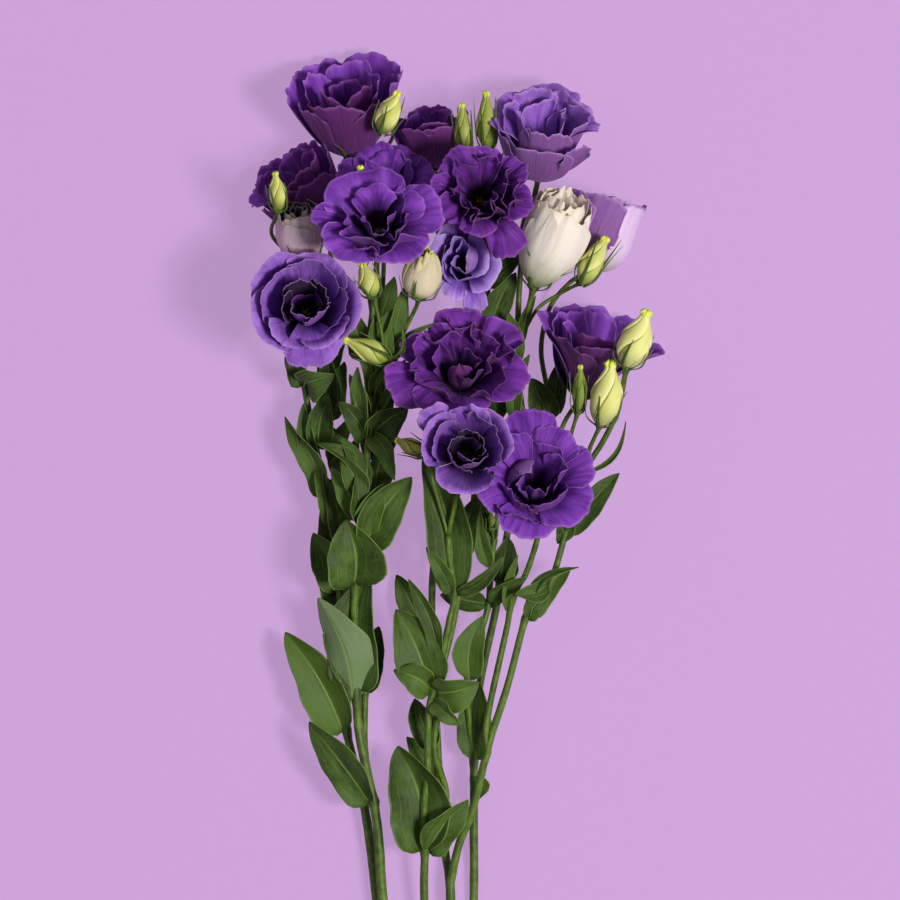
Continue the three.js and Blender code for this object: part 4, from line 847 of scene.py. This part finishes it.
# A bud about to open has petals, as a flower has. A closed one has its tip, its greatest radius, how
# green and how pale it is, the reach of its sepals as a share of its length, and its seed.
buds = {
  "bud_opening_mauve": {"tip": [-75.5, 406, 53], "radius": 11.5, "finish": "mauve", "seed": 61, "petals": [
    ["furl", 205, 1.14, 0.84, 80, 0.5], ["furl", 318, 1.14, 0.9, 62, 0.5], ["furl", 80, 1.1, 0.92, 72, 0.5],
    ["furl", 255, 0.97, 0.96, 80, 1.3], ["furl", 10, 0.95, 0.97, 76, 1.0],
    ["furl", 130, 0.95, 0.98, 76, 1.0], ["furl", 300, 0.7, 0.98, 90, 1.2], ["furl", 60, 0.7, 0.98, 90, 1.2],
    ["furl", 180, 0.7, 0.98, 90, 1.2], ["furl", 330, 0.42, 0.99, 110, 0.8],
    ["furl", 150, 0.42, 0.99, 110, 0.8], ["furl", 60, 0.2, 0.99, 120, 0.6]]},
  "bud_opening_cream": {"tip": [-12, 384, 69], "radius": 9.6, "finish": "lime", "seed": 67, "petals": [
    ["purse", 215, 1.1, 0.86, 84, 0.8], ["purse", 335, 1.1, 0.92, 80, 0.8],
    ["purse", 95, 1.08, 0.9, 80, 0.8], ["purse", 270, 0.94, 1.0, 84, 1.6],
    ["purse", 30, 0.94, 0.98, 80, 1.6], ["purse", 150, 0.94, 0.98, 80, 1.6],
    ["furl", 300, 0.4, 1.05, 100, 2.4], ["furl", 120, 0.4, 1.05, 100, 2.4]]},
}
budColumns = ("tip", "radius", "green", "pale", "sepals", "seed")
closedBuds = {
  "bud_top_left": [[-26, 463, 63], 6, 0.0, 0.2, 0.8, 71],
  "bud_top_middle": [[6, 458, 41], 4.2, 0.6, 0.0, 0.9, 73],
  "bud_top_right": [[18, 464, 43], 5, 0.65, 0.0, 0.9, 79],
  "bud_upper_left": [[-87, 423, 62], 4.2, 0.1, 0.1, 0.8, 83],
  "bud_peep": [[-44.5, 426, 66], 4.5, 0.0, 0.4, 0.8, 89],
  "bud_under_crest": [[-44, 378, 66], 5.5, 0.25, 0.2, 0.8, 97],
  "bud_left": [[-53, 340, 63], 5.2, 0.3, 0.0, 0.8, 101],
  "bud_low_left": [[-27, 290, 56], 4.2, 0.4, 0.0, 0.8, 103],
  "bud_far_right": [[78, 391, 46], 6, 0.12, 0.3, 1.05, 107],
  "bud_right_upper": [[98, 354, 71], 8, 0.0, 0.8, 0.6, 109],
  "bud_right_lower": [[80, 329, 62], 8, 0.0, 0.6, 0.6, 113],
  "bud_right_green": [[65, 327, 57], 3.6, 0.85, 0.0, 0.9, 127],
  "bud_tiny": [[20.5, 254, 30], 1.9, 0.9, 0.0, 0.9, 131],
}
buds.update({name: dict(zip(budColumns, row)) for name, row in closedBuds.items()})

# The midrib is four [out, high] points as shares of the petal's reach and rise. folds and height are the
# count and the size of its waves, frill, crinkle and notch the sizes of those at its rim, spoon lifts its
# edges or, below 0, its middle, wind winds it round the axis, grow widens it, and cells are its rows and
# columns.
kinds = {
  "broad": {"rib": [(0.06, 0.0), (0.32, 0.55), (0.62, 1.02), (1.0, 0.92)], "folds": 1.1, "height": 0.045,
            "frill": 0.014, "crinkle": 0.012, "notch": 0.015, "spoon": 0.035, "wind": 0.0, "grow": 1.16,
            "cells": (20, 38)},
  "lax": {"rib": [(0.06, 0.0), (0.42, 0.8), (0.78, 1.0), (1.0, 0.5)], "folds": 1.1, "height": 0.05,
          "frill": 0.016, "crinkle": 0.014, "notch": 0.018, "spoon": -0.02, "wind": 0.0, "grow": 1.15,
          "cells": (20, 30)},
  "wall": {"rib": [(0.1, 0.0), (0.74, 0.1), (0.86, 0.55), (1.0, 1.0)], "folds": 1.1, "height": 0.035,
           "frill": 0.014, "crinkle": 0.013, "notch": 0.016, "spoon": 0.03, "wind": 0.0, "grow": 1.15,
           "cells": (20, 36)},
  "up": {"rib": [(0.16, 0.0), (0.72, 0.2), (0.84, 0.66), (1.0, 1.03)], "folds": 1.15, "height": 0.042,
         "frill": 0.012, "crinkle": 0.01, "notch": 0.014, "spoon": 0.02, "wind": 0.0, "grow": 1.22,
         "cells": (18, 34)},
  "tube": {"rib": [(0.3, 0.0), (0.9, 0.15), (0.86, 0.62), (0.93, 1.02)], "folds": 0.9, "height": 0.026,
           "frill": 0.014, "crinkle": 0.014, "notch": 0.02, "spoon": 0.0, "wind": 0.0, "grow": 1.1,
           "cells": (18, 40)},
  "funnel": {"rib": [(0.12, 0.0), (0.34, 0.3), (0.56, 0.72), (1.0, 1.0)], "folds": 1.3, "height": 0.045,
             "frill": 0.016, "crinkle": 0.012, "notch": 0.016, "spoon": 0.0, "wind": 0.0, "grow": 1.15,
             "cells": (22, 38)},
  "vase": {"rib": [(0.12, 0.0), (0.56, 0.1), (0.84, 0.6), (1.0, 1.0)], "folds": 1.2, "height": 0.04,
           "frill": 0.014, "crinkle": 0.013, "notch": 0.016, "spoon": 0.02, "wind": 0.0, "grow": 1.15,
           "cells": (22, 38)},
  "shelf": {"rib": [(0.12, 0.0), (0.74, 0.3), (0.72, 1.0), (1.0, 0.94)], "folds": 1.1, "height": 0.045,
            "frill": 0.014, "crinkle": 0.012, "notch": 0.015, "spoon": 0.035, "wind": 0.0, "grow": 1.16,
            "cells": (22, 38)},
  "hood": {"rib": [(0.45, 0.0), (1.05, 0.5), (1.05, 1.02), (0.1, 1.0)], "folds": 0.9, "height": 0.03,
           "frill": 0.014, "crinkle": 0.012, "notch": 0.014, "spoon": 0.0, "wind": 0.0, "grow": 1.1,
           "cells": (18, 32)},
  "bell": {"rib": [(0.14, 0.0), (1.14, 0.06), (0.84, 0.68), (1.06, 1.0)], "folds": 1.2, "height": 0.03,
           "frill": 0.02, "crinkle": 0.016, "notch": 0.012, "spoon": 0.0, "wind": 0.55, "grow": 1.08,
           "cells": (22, 40)},
  "purse": {"rib": [(0.2, 0.0), (1.06, 0.06), (1.16, 0.66), (0.46, 1.0)], "folds": 1.2, "height": 0.02,
            "frill": 0.03, "crinkle": 0.02, "notch": 0.02, "spoon": 0.0, "wind": 0.6, "grow": 1.08,
            "cells": (20, 36)},
  "rose": {"rib": [(0.1, 0.0), (0.72, 0.1), (1.3, 0.52), (0.94, 1.0)], "folds": 1.2, "height": 0.02,
           "frill": 0.03, "crinkle": 0.014, "notch": 0.02, "spoon": -0.05, "wind": 0.5, "grow": 1.1,
           "cells": (24, 42)},
  "furl": {"rib": [(0.2, 0.0), (1.06, 0.06), (1.12, 0.64), (0.84, 0.98)], "folds": 1.2, "height": 0.03,
           "frill": 0.03, "crinkle": 0.02, "notch": 0.014, "spoon": 0.0, "wind": 0.4, "grow": 1.08,
           "cells": (18, 36)},
}

# Sizes in millimetres: a petal's thickness, the gap between it and the stalk's end, and the least distance
# to the axis. The rest are shares: thin is taken off its rim, round cuts its corners, lift turns it over
# its neighbour, narrow draws its rim in, chance is how far reach, rise, span and lift may stray, and lean
# slants its folds. Then come the counts of its waves from side to side.
petalShape = {"thickness": 0.35, "thin": 0.55, "gap": 0.35, "least": 0.4, "round": 0.2, "lift": 0.03,
              "narrow": 0.06, "chance": (0.02, 0.02, 0.04, 0.5), "lean": 1.5, "notches": (6, 13, 25),
              "crinkles": (15, 27, 41), "frills": (9, 13)}


def petalWaves(kind, u, v, turns, lift, tall, frilly, crisp):
    # how far a petal stands off its midrib, as a share of the radius: a lift to one side, folds, a frill and
    # crinkles, which are sums of sines of u that grow with v, less a spoon on the square of u
    swing = math.pi * kind["folds"] * u
    fold = np.sin(swing + turns[3]) + 0.55 * np.sin(2.3 * swing + turns[4])
    few, some, many = petalShape["crinkles"]
    fine = (np.sin(few * u + 2 * v + turns[5]) + 0.7 * np.sin(some * u + turns[6])
            + 0.5 * np.sin(many * u + turns[7]))
    few, some = petalShape["frills"]
    frill = np.sin(few * u + turns[5]) + 0.6 * np.sin(some * u + turns[6] - v)
    return (petalShape["lift"] * lift * u * v + tall * fold * v**2.2 + frilly * frill * v**4
            + crisp * fine * soft(v, 0.6, 1) ** 1.5 - kind["spoon"] * (u * u - 0.35) * v**1.5)


def petalSheet(load, radius, petal, dice, row):
    # (u, v) -> a fan round the axis: the midrib is a cubic of four points read at v cut back by the cube
    # of u, the waves stand off it along its normal, and the bearing goes with u
    name, bearing, reach, rise, span, wave = petal
    kind = kinds[name]
    rows, columns = kind["cells"]
    v = 1 - (1 - np.linspace(0, 1, rows + 1)) ** 1.35
    u = np.sin(np.linspace(-1.3, 1.3, columns + 1)) / math.sin(1.3)
    u, v = np.meshgrid(u, v)
    turns = dice.uniform(0, 2 * math.pi, 8)
    size = 1 + dice.uniform(-1, 1, 4) * petalShape["chance"]
    s = v * (1 - petalShape["round"] * np.abs(u) ** 3)
    few, some, many = petalShape["notches"]
    notch = (np.sin(few * u + turns[0]) + 0.7 * np.sin(some * u + turns[1])
             + 0.5 * np.sin(many * u + turns[2]))
    s = s * (1 + kind["notch"] * soft(v, 0.5, 1) * notch)
    knots = np.array(kind["rib"]) * [radius * reach * size[0], load["length"] * rise * size[1]]
    a, b, c, d = knots[:, :, None, None]
    out, high = (1 - s) ** 3 * a + 3 * s * (1 - s) ** 2 * b + 3 * s * s * (1 - s) * c + s**3 * d
    outway, upway = (1 - s) ** 2 * (b - a) + 2 * s * (1 - s) * (c - b) + s * s * (d - c)
    run = np.hypot(outway, upway)
    tall = kind["height"] * wave * dice.uniform(0.8, 1.2)
    small = min(1, 0.4 + 0.6 * reach)
    frilly = kind["frill"] * (0.4 + 0.6 * wave) * small
    crisp = kind["crinkle"] * (0.5 + 0.5 * wave) * small
    off = radius * petalWaves(kind, u, v, turns, 1 + 0.6 * size[3], tall, frilly, crisp)
    out = np.maximum(out + upway / run * off, petalShape["least"])
    high = high - outway / run * off
    share = math.radians(span) * size[2] * kind["grow"]
    angle = math.radians(bearing) + u * share * (1 - petalShape["narrow"] * v) + kind["wind"] * v
    slant = np.cos(math.pi * kind["folds"] * u + turns[3] + 0.6) / max(reach, 0.4)
    angle = angle + tall * petalShape["lean"] * v**3 * slant
    points = around(load, high + petalShape["gap"], out, angle)
    middle = load["foot"] + load["axis"] * load["length"]
    stretch = np.array(row.get("stretch", (1, 1, 1)), float) - 1
    points = points + (points - middle) * stretch * soft(v, 0.1, 0.8)[..., None]
    return points, u, v


# height is a share of the flower's length, stamenHeight of the pistil's, reach of the flower's radius and
# lobes of the stigma's, and thread and pollen are a stamen's radii in millimetres.
pistilShape = {"height": 0.24, "stamens": 6, "stamenHeight": (0.7, 0.95), "reach": (0.06, 0.1),
               "thread": 0.2, "pollen": 0.5, "lobes": 0.3, "rows": 12, "sides": 10,
               "profile": [(0, 0.6), (0.25, 1.1), (0.55, 0.55), (0.75, 0.4), (0.9, 0.95), (1, 0.35)]}


def pistil(bundle, load, radius, dice, cover):
    # (t, a) -> an ovary with the profile's size at t and two lobes at its top, and stamens on a sine bent
    # out round it
    t, a = np.meshgrid(np.linspace(0, 1, pistilShape["rows"]),
                       np.linspace(0, 2 * math.pi, pistilShape["sides"], endpoint=False), indexing="ij")
    wide = (0.05 * radius + 0.3) * profile(pistilShape["profile"], t)
    wide = wide * (1 + pistilShape["lobes"] * soft(t, 0.7, 0.9) * np.cos(2 * a))
    deep = pistilShape["height"]
    rings = around(load, deep * load["length"] * t, wide, a)
    bundle.tube(rings, np.stack([a, t, 0 * t], -1), (0, 0, 0), cover)
    for k in range(pistilShape["stamens"]):
        bearing = 2 * math.pi * k / pistilShape["stamens"] + dice.uniform(-0.3, 0.3)
        way = load["side"] * math.cos(bearing) + load["other"] * math.sin(bearing)
        reach = radius * dice.uniform(*pistilShape["reach"])
        tall = deep * dice.uniform(*pistilShape["stamenHeight"]) * load["length"]
        bent = reach * np.sin(1.6 * t)
        line = load["foot"] + load["axis"] * (tall * t)[..., None] + way * bent[..., None]
        thin = pistilShape["thread"] + pistilShape["pollen"] * soft(t, 0.78, 0.86) * soft(t, 1.02, 0.94)
        beside = np.cross(load["axis"], way)
        rings = line + way * (thin * np.cos(a))[..., None] + beside * (thin * np.sin(a))[..., None]
        bundle.tube(rings, np.stack([a, t, 0 * t], -1), (0, 0, 0), cover + 1)


# the slot of a flower's petals, by its finish
petalSlots = {"violet": "petals_violet", "deep": "petals_deep_violet", "lilac": "petals_lilac",
              "blue": "petals_lilac", "pale": "petals_pale_mauve", "mauve": "petals_pale_mauve",
              "cream": "petals_cream", "lime": "petals_cream"}


def bloom(name, row, load):
    # every petal round the axis, and in an open flower the pistil in the throat
    dice = np.random.default_rng(row["seed"])
    bundle = Bundle()
    finishes = [row["finish"]] + sorted({petal[6] for petal in row["petals"] if len(petal) > 6})
    for petal in row["petals"]:
        grid, u, v = petalSheet(load, row["radius"], petal[:6], dice, row)
        inner = 1 - min(1, petal[2])
        thick = petalShape["thickness"] * (1 - petalShape["thin"] * v**5)
        cover = finishes.index(petal[6]) if len(petal) > 6 else 0
        bundle.sheet(grid, u, v, (dice.uniform(), inner, row.get("paintedShade", 0.0)), thick, cover)
    if "mouth" in row:
        pistil(bundle, load, row["radius"], dice, len(finishes))
    covers = [petalMaterials[finish] for finish in finishes] + [pistilCover, pollenCover]
    bundle.finish(name + "_petals", covers, [name], petalSlots[row["finish"]])


# folds edges wind this share of a turn and rise by this share of the radius, bend bows the bud, teeth
# roughen its mouth, and steps are the places of the columns between one edge and the next.
budShape = {"folds": 4, "wind": 0.42, "rise": 0.2, "rows": 40, "bend": 0.12, "teeth": (0.25, 0.18, 0.018),
            "steps": (0.0, 0.05, 0.14, 0.28, 0.44, 0.6, 0.76, 0.88, 0.95, 0.985),
            "profile": [(0, 0.42), (0.08, 0.66), (0.22, 0.92), (0.4, 1.0), (0.6, 0.82), (0.78, 0.52),
                        (0.9, 0.33), (0.96, 0.34), (1, 0.2)]}


def closedBud(name, row, load):
    # (t, a) -> a spindle with the profile's size at t, on which furled edges climb slowly and drop back:
    # the columns wind with the edges, so that each edge runs along one
    dice = np.random.default_rng(row["seed"])
    steps = np.array(budShape["steps"])
    phase = (np.arange(budShape["folds"])[:, None] + steps).ravel() / budShape["folds"]
    t, column = np.meshgrid(np.linspace(0, 1, budShape["rows"]), 2 * math.pi * phase, indexing="ij")
    fold = np.broadcast_to(np.tile(steps, budShape["folds"]), t.shape)
    start = dice.uniform(0, 1)
    each = np.repeat(dice.uniform(0.7, 1.3, budShape["folds"]), len(steps))
    a = column + 2 * math.pi * (start + budShape["wind"] * t**1.2 + 0.02 * np.sin(7 * t + 5 * start))
    wide = row["radius"] * profile(budShape["profile"], t)
    ridge = each * (fold**0.7 * soft(fold, 1.0, 0.95) - 0.5) * soft(t, 0.0, 0.25)
    wide = wide * (1 + budShape["rise"] * ridge + 0.03 * np.sin(2 * column + 6 * t))
    tip = soft(t, 0.84, 0.97)
    broad, fine, steep = budShape["teeth"]
    wide = wide * (1 + tip * (broad * np.sin(7 * a + 3 * start) + fine * np.sin(11 * a)))
    high = load["length"] * (t + steep * tip * np.sin(5 * a + 2)) + petalShape["gap"]
    bend = load["side"] * dice.uniform(-0.6, 0.6) + load["other"] * dice.uniform(-0.6, 0.6)
    bow = np.sin(math.pi * t) * budShape["bend"] * row["radius"]
    rings = around(load, high, wide, a) + bend * bow[..., None]
    bundle = Bundle()
    tone = (dice.uniform(), row["green"], row["pale"])
    bundle.tube(rings, np.stack([fold, t, column / math.pi], -1), tone)
    bundle.finish(name + "_skin", [budCover], [name], "buds_green")


# Sizes in millimetres: the calyx's radius and height, the length over which a shoot turns to what it
# carries, a node's half length, the distance between rings, the least radius of a shoot that starts at a
# cut, and the pith's depth. Then come its shares of the stalk's radius, how much a node swells, how slim
# the stalk is between nodes, its ribs and roughness, its sides when it is thick or thin, and how dark it
# gets under what it carries.
stalkShape = {"calyx": 3.0, "calyxHeight": 4.5, "settle": 9, "node": 2.2, "spacing": 3.0, "cut": 2.5,
              "pith": 0.5, "pithShare": (0.86, 0.84), "swell": 0.3, "slim": 0.82, "ribs": 4,
              "ribDepth": 0.05, "rough": 0.02, "sides": (14, 10), "thick": 1.6, "shaded": 0.35}


def stalkTube(bundle, shoot, load, nodes, dice):
    # (t, a) -> the shoot's line with its radius, swollen at each node and drawn out to the calyx at its end
    line, length = lineOf(shoot["path"])
    rows = max(8, int(length / stalkShape["spacing"]))
    sides = stalkShape["sides"][0 if shoot["radius"][0] > stalkShape["thick"] else 1]
    t = np.linspace(0, 1, rows)
    read = np.linspace(0, 1, lineSteps)
    centre = np.stack([np.interp(t, read, line[:, k]) for k in range(3)], 1)
    along = unit(np.gradient(centre, axis=0))
    along[0] = unit(centre[1] - centre[0])
    if load:
        near = soft(t * length, length - stalkShape["settle"], length)[:, None]
        along = unit(along * (1 - near) + load["axis"] * near)
    hint = np.eye(3)[np.argmin(np.abs(along).max(axis=0))]
    side = unit(hint - along * (along @ hint)[:, None])
    other = np.cross(along, side)
    wide = shoot["radius"][0] + (shoot["radius"][1] - shoot["radius"][0]) * t
    ring = np.zeros(rows)
    for share in nodes:
        ring = np.maximum(ring, np.exp(-(((t - share) * length / stalkShape["node"]) ** 2)))
    wide = wide * stalkShape["slim"] * (1 + stalkShape["swell"] * ring)
    if load:
        calyx = soft(t * length, length - stalkShape["calyxHeight"], length)
        wide = wide * (1 - calyx) + stalkShape["calyx"] * calyx
    a = np.linspace(0, 2 * math.pi, sides, endpoint=False)
    ribs = stalkShape["ribDepth"] * np.cos(stalkShape["ribs"] * a)[None, :]
    wide = wide[:, None] * (1 + ribs + stalkShape["rough"] * dice.normal(size=(rows, 1)))
    rings = (centre[:, None] + side[:, None] * (wide * np.cos(a))[..., None]
             + other[:, None] * (wide * np.sin(a))[..., None])
    about, far = np.broadcast_arrays(a[None, :] / (2 * math.pi), (t * length / 40)[:, None])
    place = np.stack([about, far, np.zeros(far.shape)], -1)
    tone = np.zeros(rings.shape)
    tone[..., 0] = dice.uniform()
    tone[..., 1] = ring[:, None]
    tone[..., 2] = soft(t, 0.6, 1.0)[:, None] * (stalkShape["shaded"] if load else 0.0)
    bundle.tube(rings, place, tone, 0)
    if shoot["radius"][0] >= stalkShape["cut"]:  # the cut end: a thin pale disc inside a green rim
        disc = np.stack([rings[0], rings[0] - stalkShape["pith"] * along[0]])
        disc = centre[0] + (disc - centre[0]) * np.array(stalkShape["pithShare"])[:, None, None]
        flat = np.zeros(disc.shape)
        flat[..., 2] = 1
        bundle.tube(disc[::-1], flat, (0.5, 0, 0), 0)


# Sizes in millimetres: width, thickness, how deep the foot is sunk in the calyx, and the height of the
# keel. A bud's sepals reach and flare by these shares, and a flower's reach by theirs.
sepalShape = {"count": 5, "width": 1.5, "thickness": 0.5, "sunk": 1.2, "keel": 0.35, "rows": 13,
              "columns": 4, "budReach": (0.85, 1.1), "budFlare": (0.9, 1.5), "flowerReach": (0.8, 1.1)}


def sepalSheet(bundle, load, bearing, bulge, reach, end, width, dice):
    # (u, v) -> a narrow blade from the calyx: out runs through the bulge to the end, high goes up to the
    # reach, and the keel stands out
    v, u = np.meshgrid(np.linspace(0, 1, sepalShape["rows"]), np.linspace(-1, 1, sepalShape["columns"]),
                       indexing="ij")
    calyx = stalkShape["calyx"]
    out = profile([(0, 0.72 * calyx), (0.15, 0.4 * calyx + 0.55 * bulge), (0.55, bulge), (1, end)], v)
    high = reach * (0.9 * v + 0.1 * v * v) - sepalShape["sunk"]
    half = width / 2 * (1.25 - v) ** 0.8 * (1 - v**5) + 0.12
    angle = bearing + dice.uniform(-0.3, 0.3) * v**2
    out = out + sepalShape["keel"] * (1 - u * u) * (1 - v)
    way = load["side"] * np.cos(angle)[..., None] + load["other"] * np.sin(angle)[..., None]
    beside = load["other"] * np.cos(angle)[..., None] - load["side"] * np.sin(angle)[..., None]
    grid = (load["foot"] + load["axis"] * high[..., None] + way * out[..., None]
            + beside * (half * u)[..., None])
    bundle.sheet(grid, u, v * 0.9, (dice.uniform(), 0.15, 0), sepalShape["thickness"] * (1 - 0.5 * v), 1)


# Sizes in millimetres, apart from broaden, which brings the outline to about the row's width, powers,
# which round its foot and sharpen its tip, cup, the slope of its halves, twist, the turn of its tip in
# radians, and wave, the height of its waves as a share of its half width.
leafShape = {"thickness": 0.55, "rib": 0.25, "channel": 0.35, "droop": (0.3, 2.2), "row": 2.6,
             "rows": (12, 30), "columns": 14, "broaden": 2.332, "powers": (0.45, 0.76),
             "cup": (0.25, 0.6), "twist": 0.5, "wave": 0.16}


def leafFrame(shoot, y, tip, roll):
    # where a leaf leaves its shoot: its foot on the stalk's side, its chord's length and direction, and the
    # directions across its blade and out of its upper face
    line, _ = lineOf(shoot["path"])
    nearest = int(np.argmin(np.abs(line[:, 1] - y)))
    centre = line[nearest]
    last = lineSteps - 1
    stalkWay = unit(line[min(last, nearest + 1)] - line[max(0, nearest - 1)])
    radius = shoot["radius"][0] + (shoot["radius"][1] - shoot["radius"][0]) * nearest / last
    away = tip - centre
    away = unit(away - stalkWay * (away @ stalkWay))
    foot = centre + away * 0.7 * radius
    chord = tip - foot
    reach = float(np.linalg.norm(chord))
    chord = chord / reach
    side = unit(np.cross(chord, skyward))
    angle = math.radians(roll)
    side = side * math.cos(angle) + np.cross(chord, side) * math.sin(angle)
    return foot, reach, chord, side, np.cross(side, chord)


def leafSheet(bundle, shoot, row, dice):
    # (u, v) -> a blade on the chord from the stalk to the tip: its half width is a power of v by a power
    # of 1 - v, the midrib arches off the chord on a sine and sways, the halves rise from a channel along
    # it, and the edges wave
    _, y, tipX, tipY, tipZ, width, bow, roll, sway = row
    foot, reach, chord, side, face = leafFrame(shoot, y, np.array([tipX, tipY, tipZ], float), roll)
    rows = int(np.clip(reach / leafShape["row"], *leafShape["rows"]))
    v = 1 - (1 - np.linspace(0, 1, rows + 1)) ** 1.15
    u = np.sin(np.linspace(-1.25, 1.25, leafShape["columns"] + 1)) / math.sin(1.25)
    u, v = np.meshgrid(u, v)
    wave = dice.uniform(0, 2 * math.pi, 4)
    rounded, sharp = leafShape["powers"]
    half = 0.5 * width * leafShape["broaden"] * (v + 0.012) ** rounded * (1.004 - v) ** sharp
    half = half * (1 + 0.04 * np.sin(8 * v + wave[0]) * u + 0.02 * np.sin(23 * v + wave[3]) * np.abs(u))
    arch = np.sin(math.pi * v)
    twist = dice.uniform(-leafShape["twist"], leafShape["twist"]) * v**1.5
    cup = dice.uniform(*leafShape["cup"]) + 0.3 * soft(v, 0.35, 0.0)
    channel = leafShape["channel"] * np.exp(-(u / 0.09) ** 2) * soft(v, 1.0, 0.7)
    rise = cup * np.abs(u) ** 1.4 * half - channel
    rise = rise + leafShape["wave"] * half * np.sin(8 * v + wave[1] + 1.2 * u) * u * u * np.sign(u)
    rise = rise + (0.3 * np.sin(17 * v + wave[2]) + 0.1 * half * np.sin(5 * v + wave[3])) * u**2
    sideways = u * half * np.cos(twist) - rise * np.sin(twist)
    upways = u * half * np.sin(twist) + rise * np.cos(twist)
    droop = dice.uniform(*leafShape["droop"]) * v**5
    points = (foot + chord * (reach * v)[..., None] + side * (sideways - sway * arch)[..., None]
              + face * (bow * arch + upways - droop)[..., None])
    thick = leafShape["thickness"] * (1 - 0.5 * np.abs(u) ** 4) + leafShape["rib"] * np.exp(-(u / 0.1) ** 2)
    bundle.sheet(points, u, v, (dice.uniform(), 0.0, 0), thick, 1)


def carriedBy(shoot):
    # the row of the flower or bud on a shoot, and its frame
    row = flowers.get(shoot.get("carries")) or buds.get(shoot.get("carries"))
    if not row:
        return None, None
    return row, frameOf(shoot["path"][-1], row.get("mouth") or row["tip"])


def sepals(bundle, row, load, dice):
    # a ring of sepals: on a closed bud they hug it, and under petals they reach halfway up and follow the
    # first petal's midrib
    for k in range(sepalShape["count"]):
        bearing = 2 * math.pi * (k + 0.5) / sepalShape["count"] + dice.uniform(-0.15, 0.15)
        if "petals" not in row:
            reach = row["sepals"] * load["length"] * dice.uniform(*sepalShape["budReach"])
            bulge = row["radius"] * 1.08 + 0.5
            end = row["radius"] * dice.uniform(*sepalShape["budFlare"]) + 0.8
            width = sepalShape["width"] * min(1, row["radius"] / 5)
        else:
            rib = kinds[row["petals"][0][0]]["rib"]
            reach = 0.5 * load["length"] * dice.uniform(*sepalShape["flowerReach"])
            bulge = rib[1][0] * 0.86 * row["radius"] + 0.8
            end = rib[2][0] * row["radius"] * 0.95 + 1
            width = sepalShape["width"] * 1.2
        sepalSheet(bundle, load, bearing, bulge, reach, end, width, dice)


print("making stems")
for name, stem in stems.items():
    dice = np.random.default_rng(len(name) * 7 + sum(map(ord, name)))
    bundle = Bundle()
    for label, shoot in stem["shoots"].items():
        row, load = carriedBy(shoot)
        line, _ = lineOf(shoot["path"])
        heights = [leaf[1] for leaf in stem["leaves"] if leaf[0] == label]
        nodes = [np.argmin(np.abs(line[:, 1] - height)) / (lineSteps - 1) for height in heights]
        stalkTube(bundle, shoot, load, nodes, dice)
        if load:
            sepals(bundle, row, load, dice)
    for leaf in stem["leaves"] + stem["sprays"]:
        leafSheet(bundle, stem["shoots"][leaf[0]], leaf, dice)
    bundle.finish(name + "_greens", [stalkCover, leafCover], [name], "leafy_stem")

print("making flowers and buds")
for stem in stems.values():
    for shoot in stem["shoots"].values():
        row, load = carriedBy(shoot)
        if row:
            make = bloom if "petals" in row else closedBud
            make(shoot["carries"], row, load)

# A wide pale floor that glows a little, as if lit evenly, one lamp high on the right and a weak wide one.
room = {"floor": tint(119, 94, 127), "speckle": tint(116, 92, 124), "grain": 160.0,
        "glow": tint(205, 165, 218), "glowStrength": 0.7, "reach": 8.0,
        "world": (0.97, 0.94, 1.0, 1.0), "worldStrength": 0.22}
lamps = {
  "key": {"place": (1.5, -0.3, 2.6), "aim": (0, 0.06, 0.04), "size": 0.8, "power": 86,
          "colour": (1, 0.98, 0.96)},
  "fill": {"place": (-1.4, 0.8, 2.4), "aim": (0, 0.03, 0.03), "size": 2.0, "power": 8,
           "colour": (0.95, 0.95, 1)},
}
floorMesh = bpy.data.meshes.new("floor")
half = room["reach"] / 2
floorCorners = [(-half, -half, 0), (half, -half, 0), (half, half, 0), (-half, half, 0)]
floorMesh.from_pydata(floorCorners, [], [(0, 1, 2, 3)])
floor = bpy.data.objects.new("floor", floorMesh)
bpy.context.scene.collection.objects.link(floor)
floorCover, floorFlow, floorShader = newMaterial("pale floor", {
    "Specular IOR Level": 0.1, "Emission Color": room["glow"], "Emission Strength": room["glowStrength"]})
speckle = speckles(floorFlow, room["grain"], 2.0)
feed(floorShader, floorFlow, {"Base Color": speckle.between(0.3, 0.7).blend(room["speckle"], room["floor"]),
                              "Roughness": 0.85 + speckle * 0.1})
floorMesh.materials.append(floorCover)

for name, lamp in lamps.items():
    data = bpy.data.lights.new(name, "AREA")
    data.shape = "DISK"
    data.size, data.energy, data.color = lamp["size"], lamp["power"], lamp["colour"]
    light = bpy.data.objects.new(name, data)
    place, aim = np.array(lamp["place"]), np.array(lamp["aim"])
    light.location = place
    back = unit(place - aim)
    light.rotation_euler = (math.acos(back[2]), 0, math.atan2(back[0], -back[1]))
    bpy.context.scene.collection.objects.link(light)
world = bpy.data.worlds.new("studio")
world.use_nodes = True
world.node_tree.nodes["Background"].inputs["Color"].default_value = room["world"]
world.node_tree.nodes["Background"].inputs["Strength"].default_value = room["worldStrength"]
bpy.context.scene.world = world
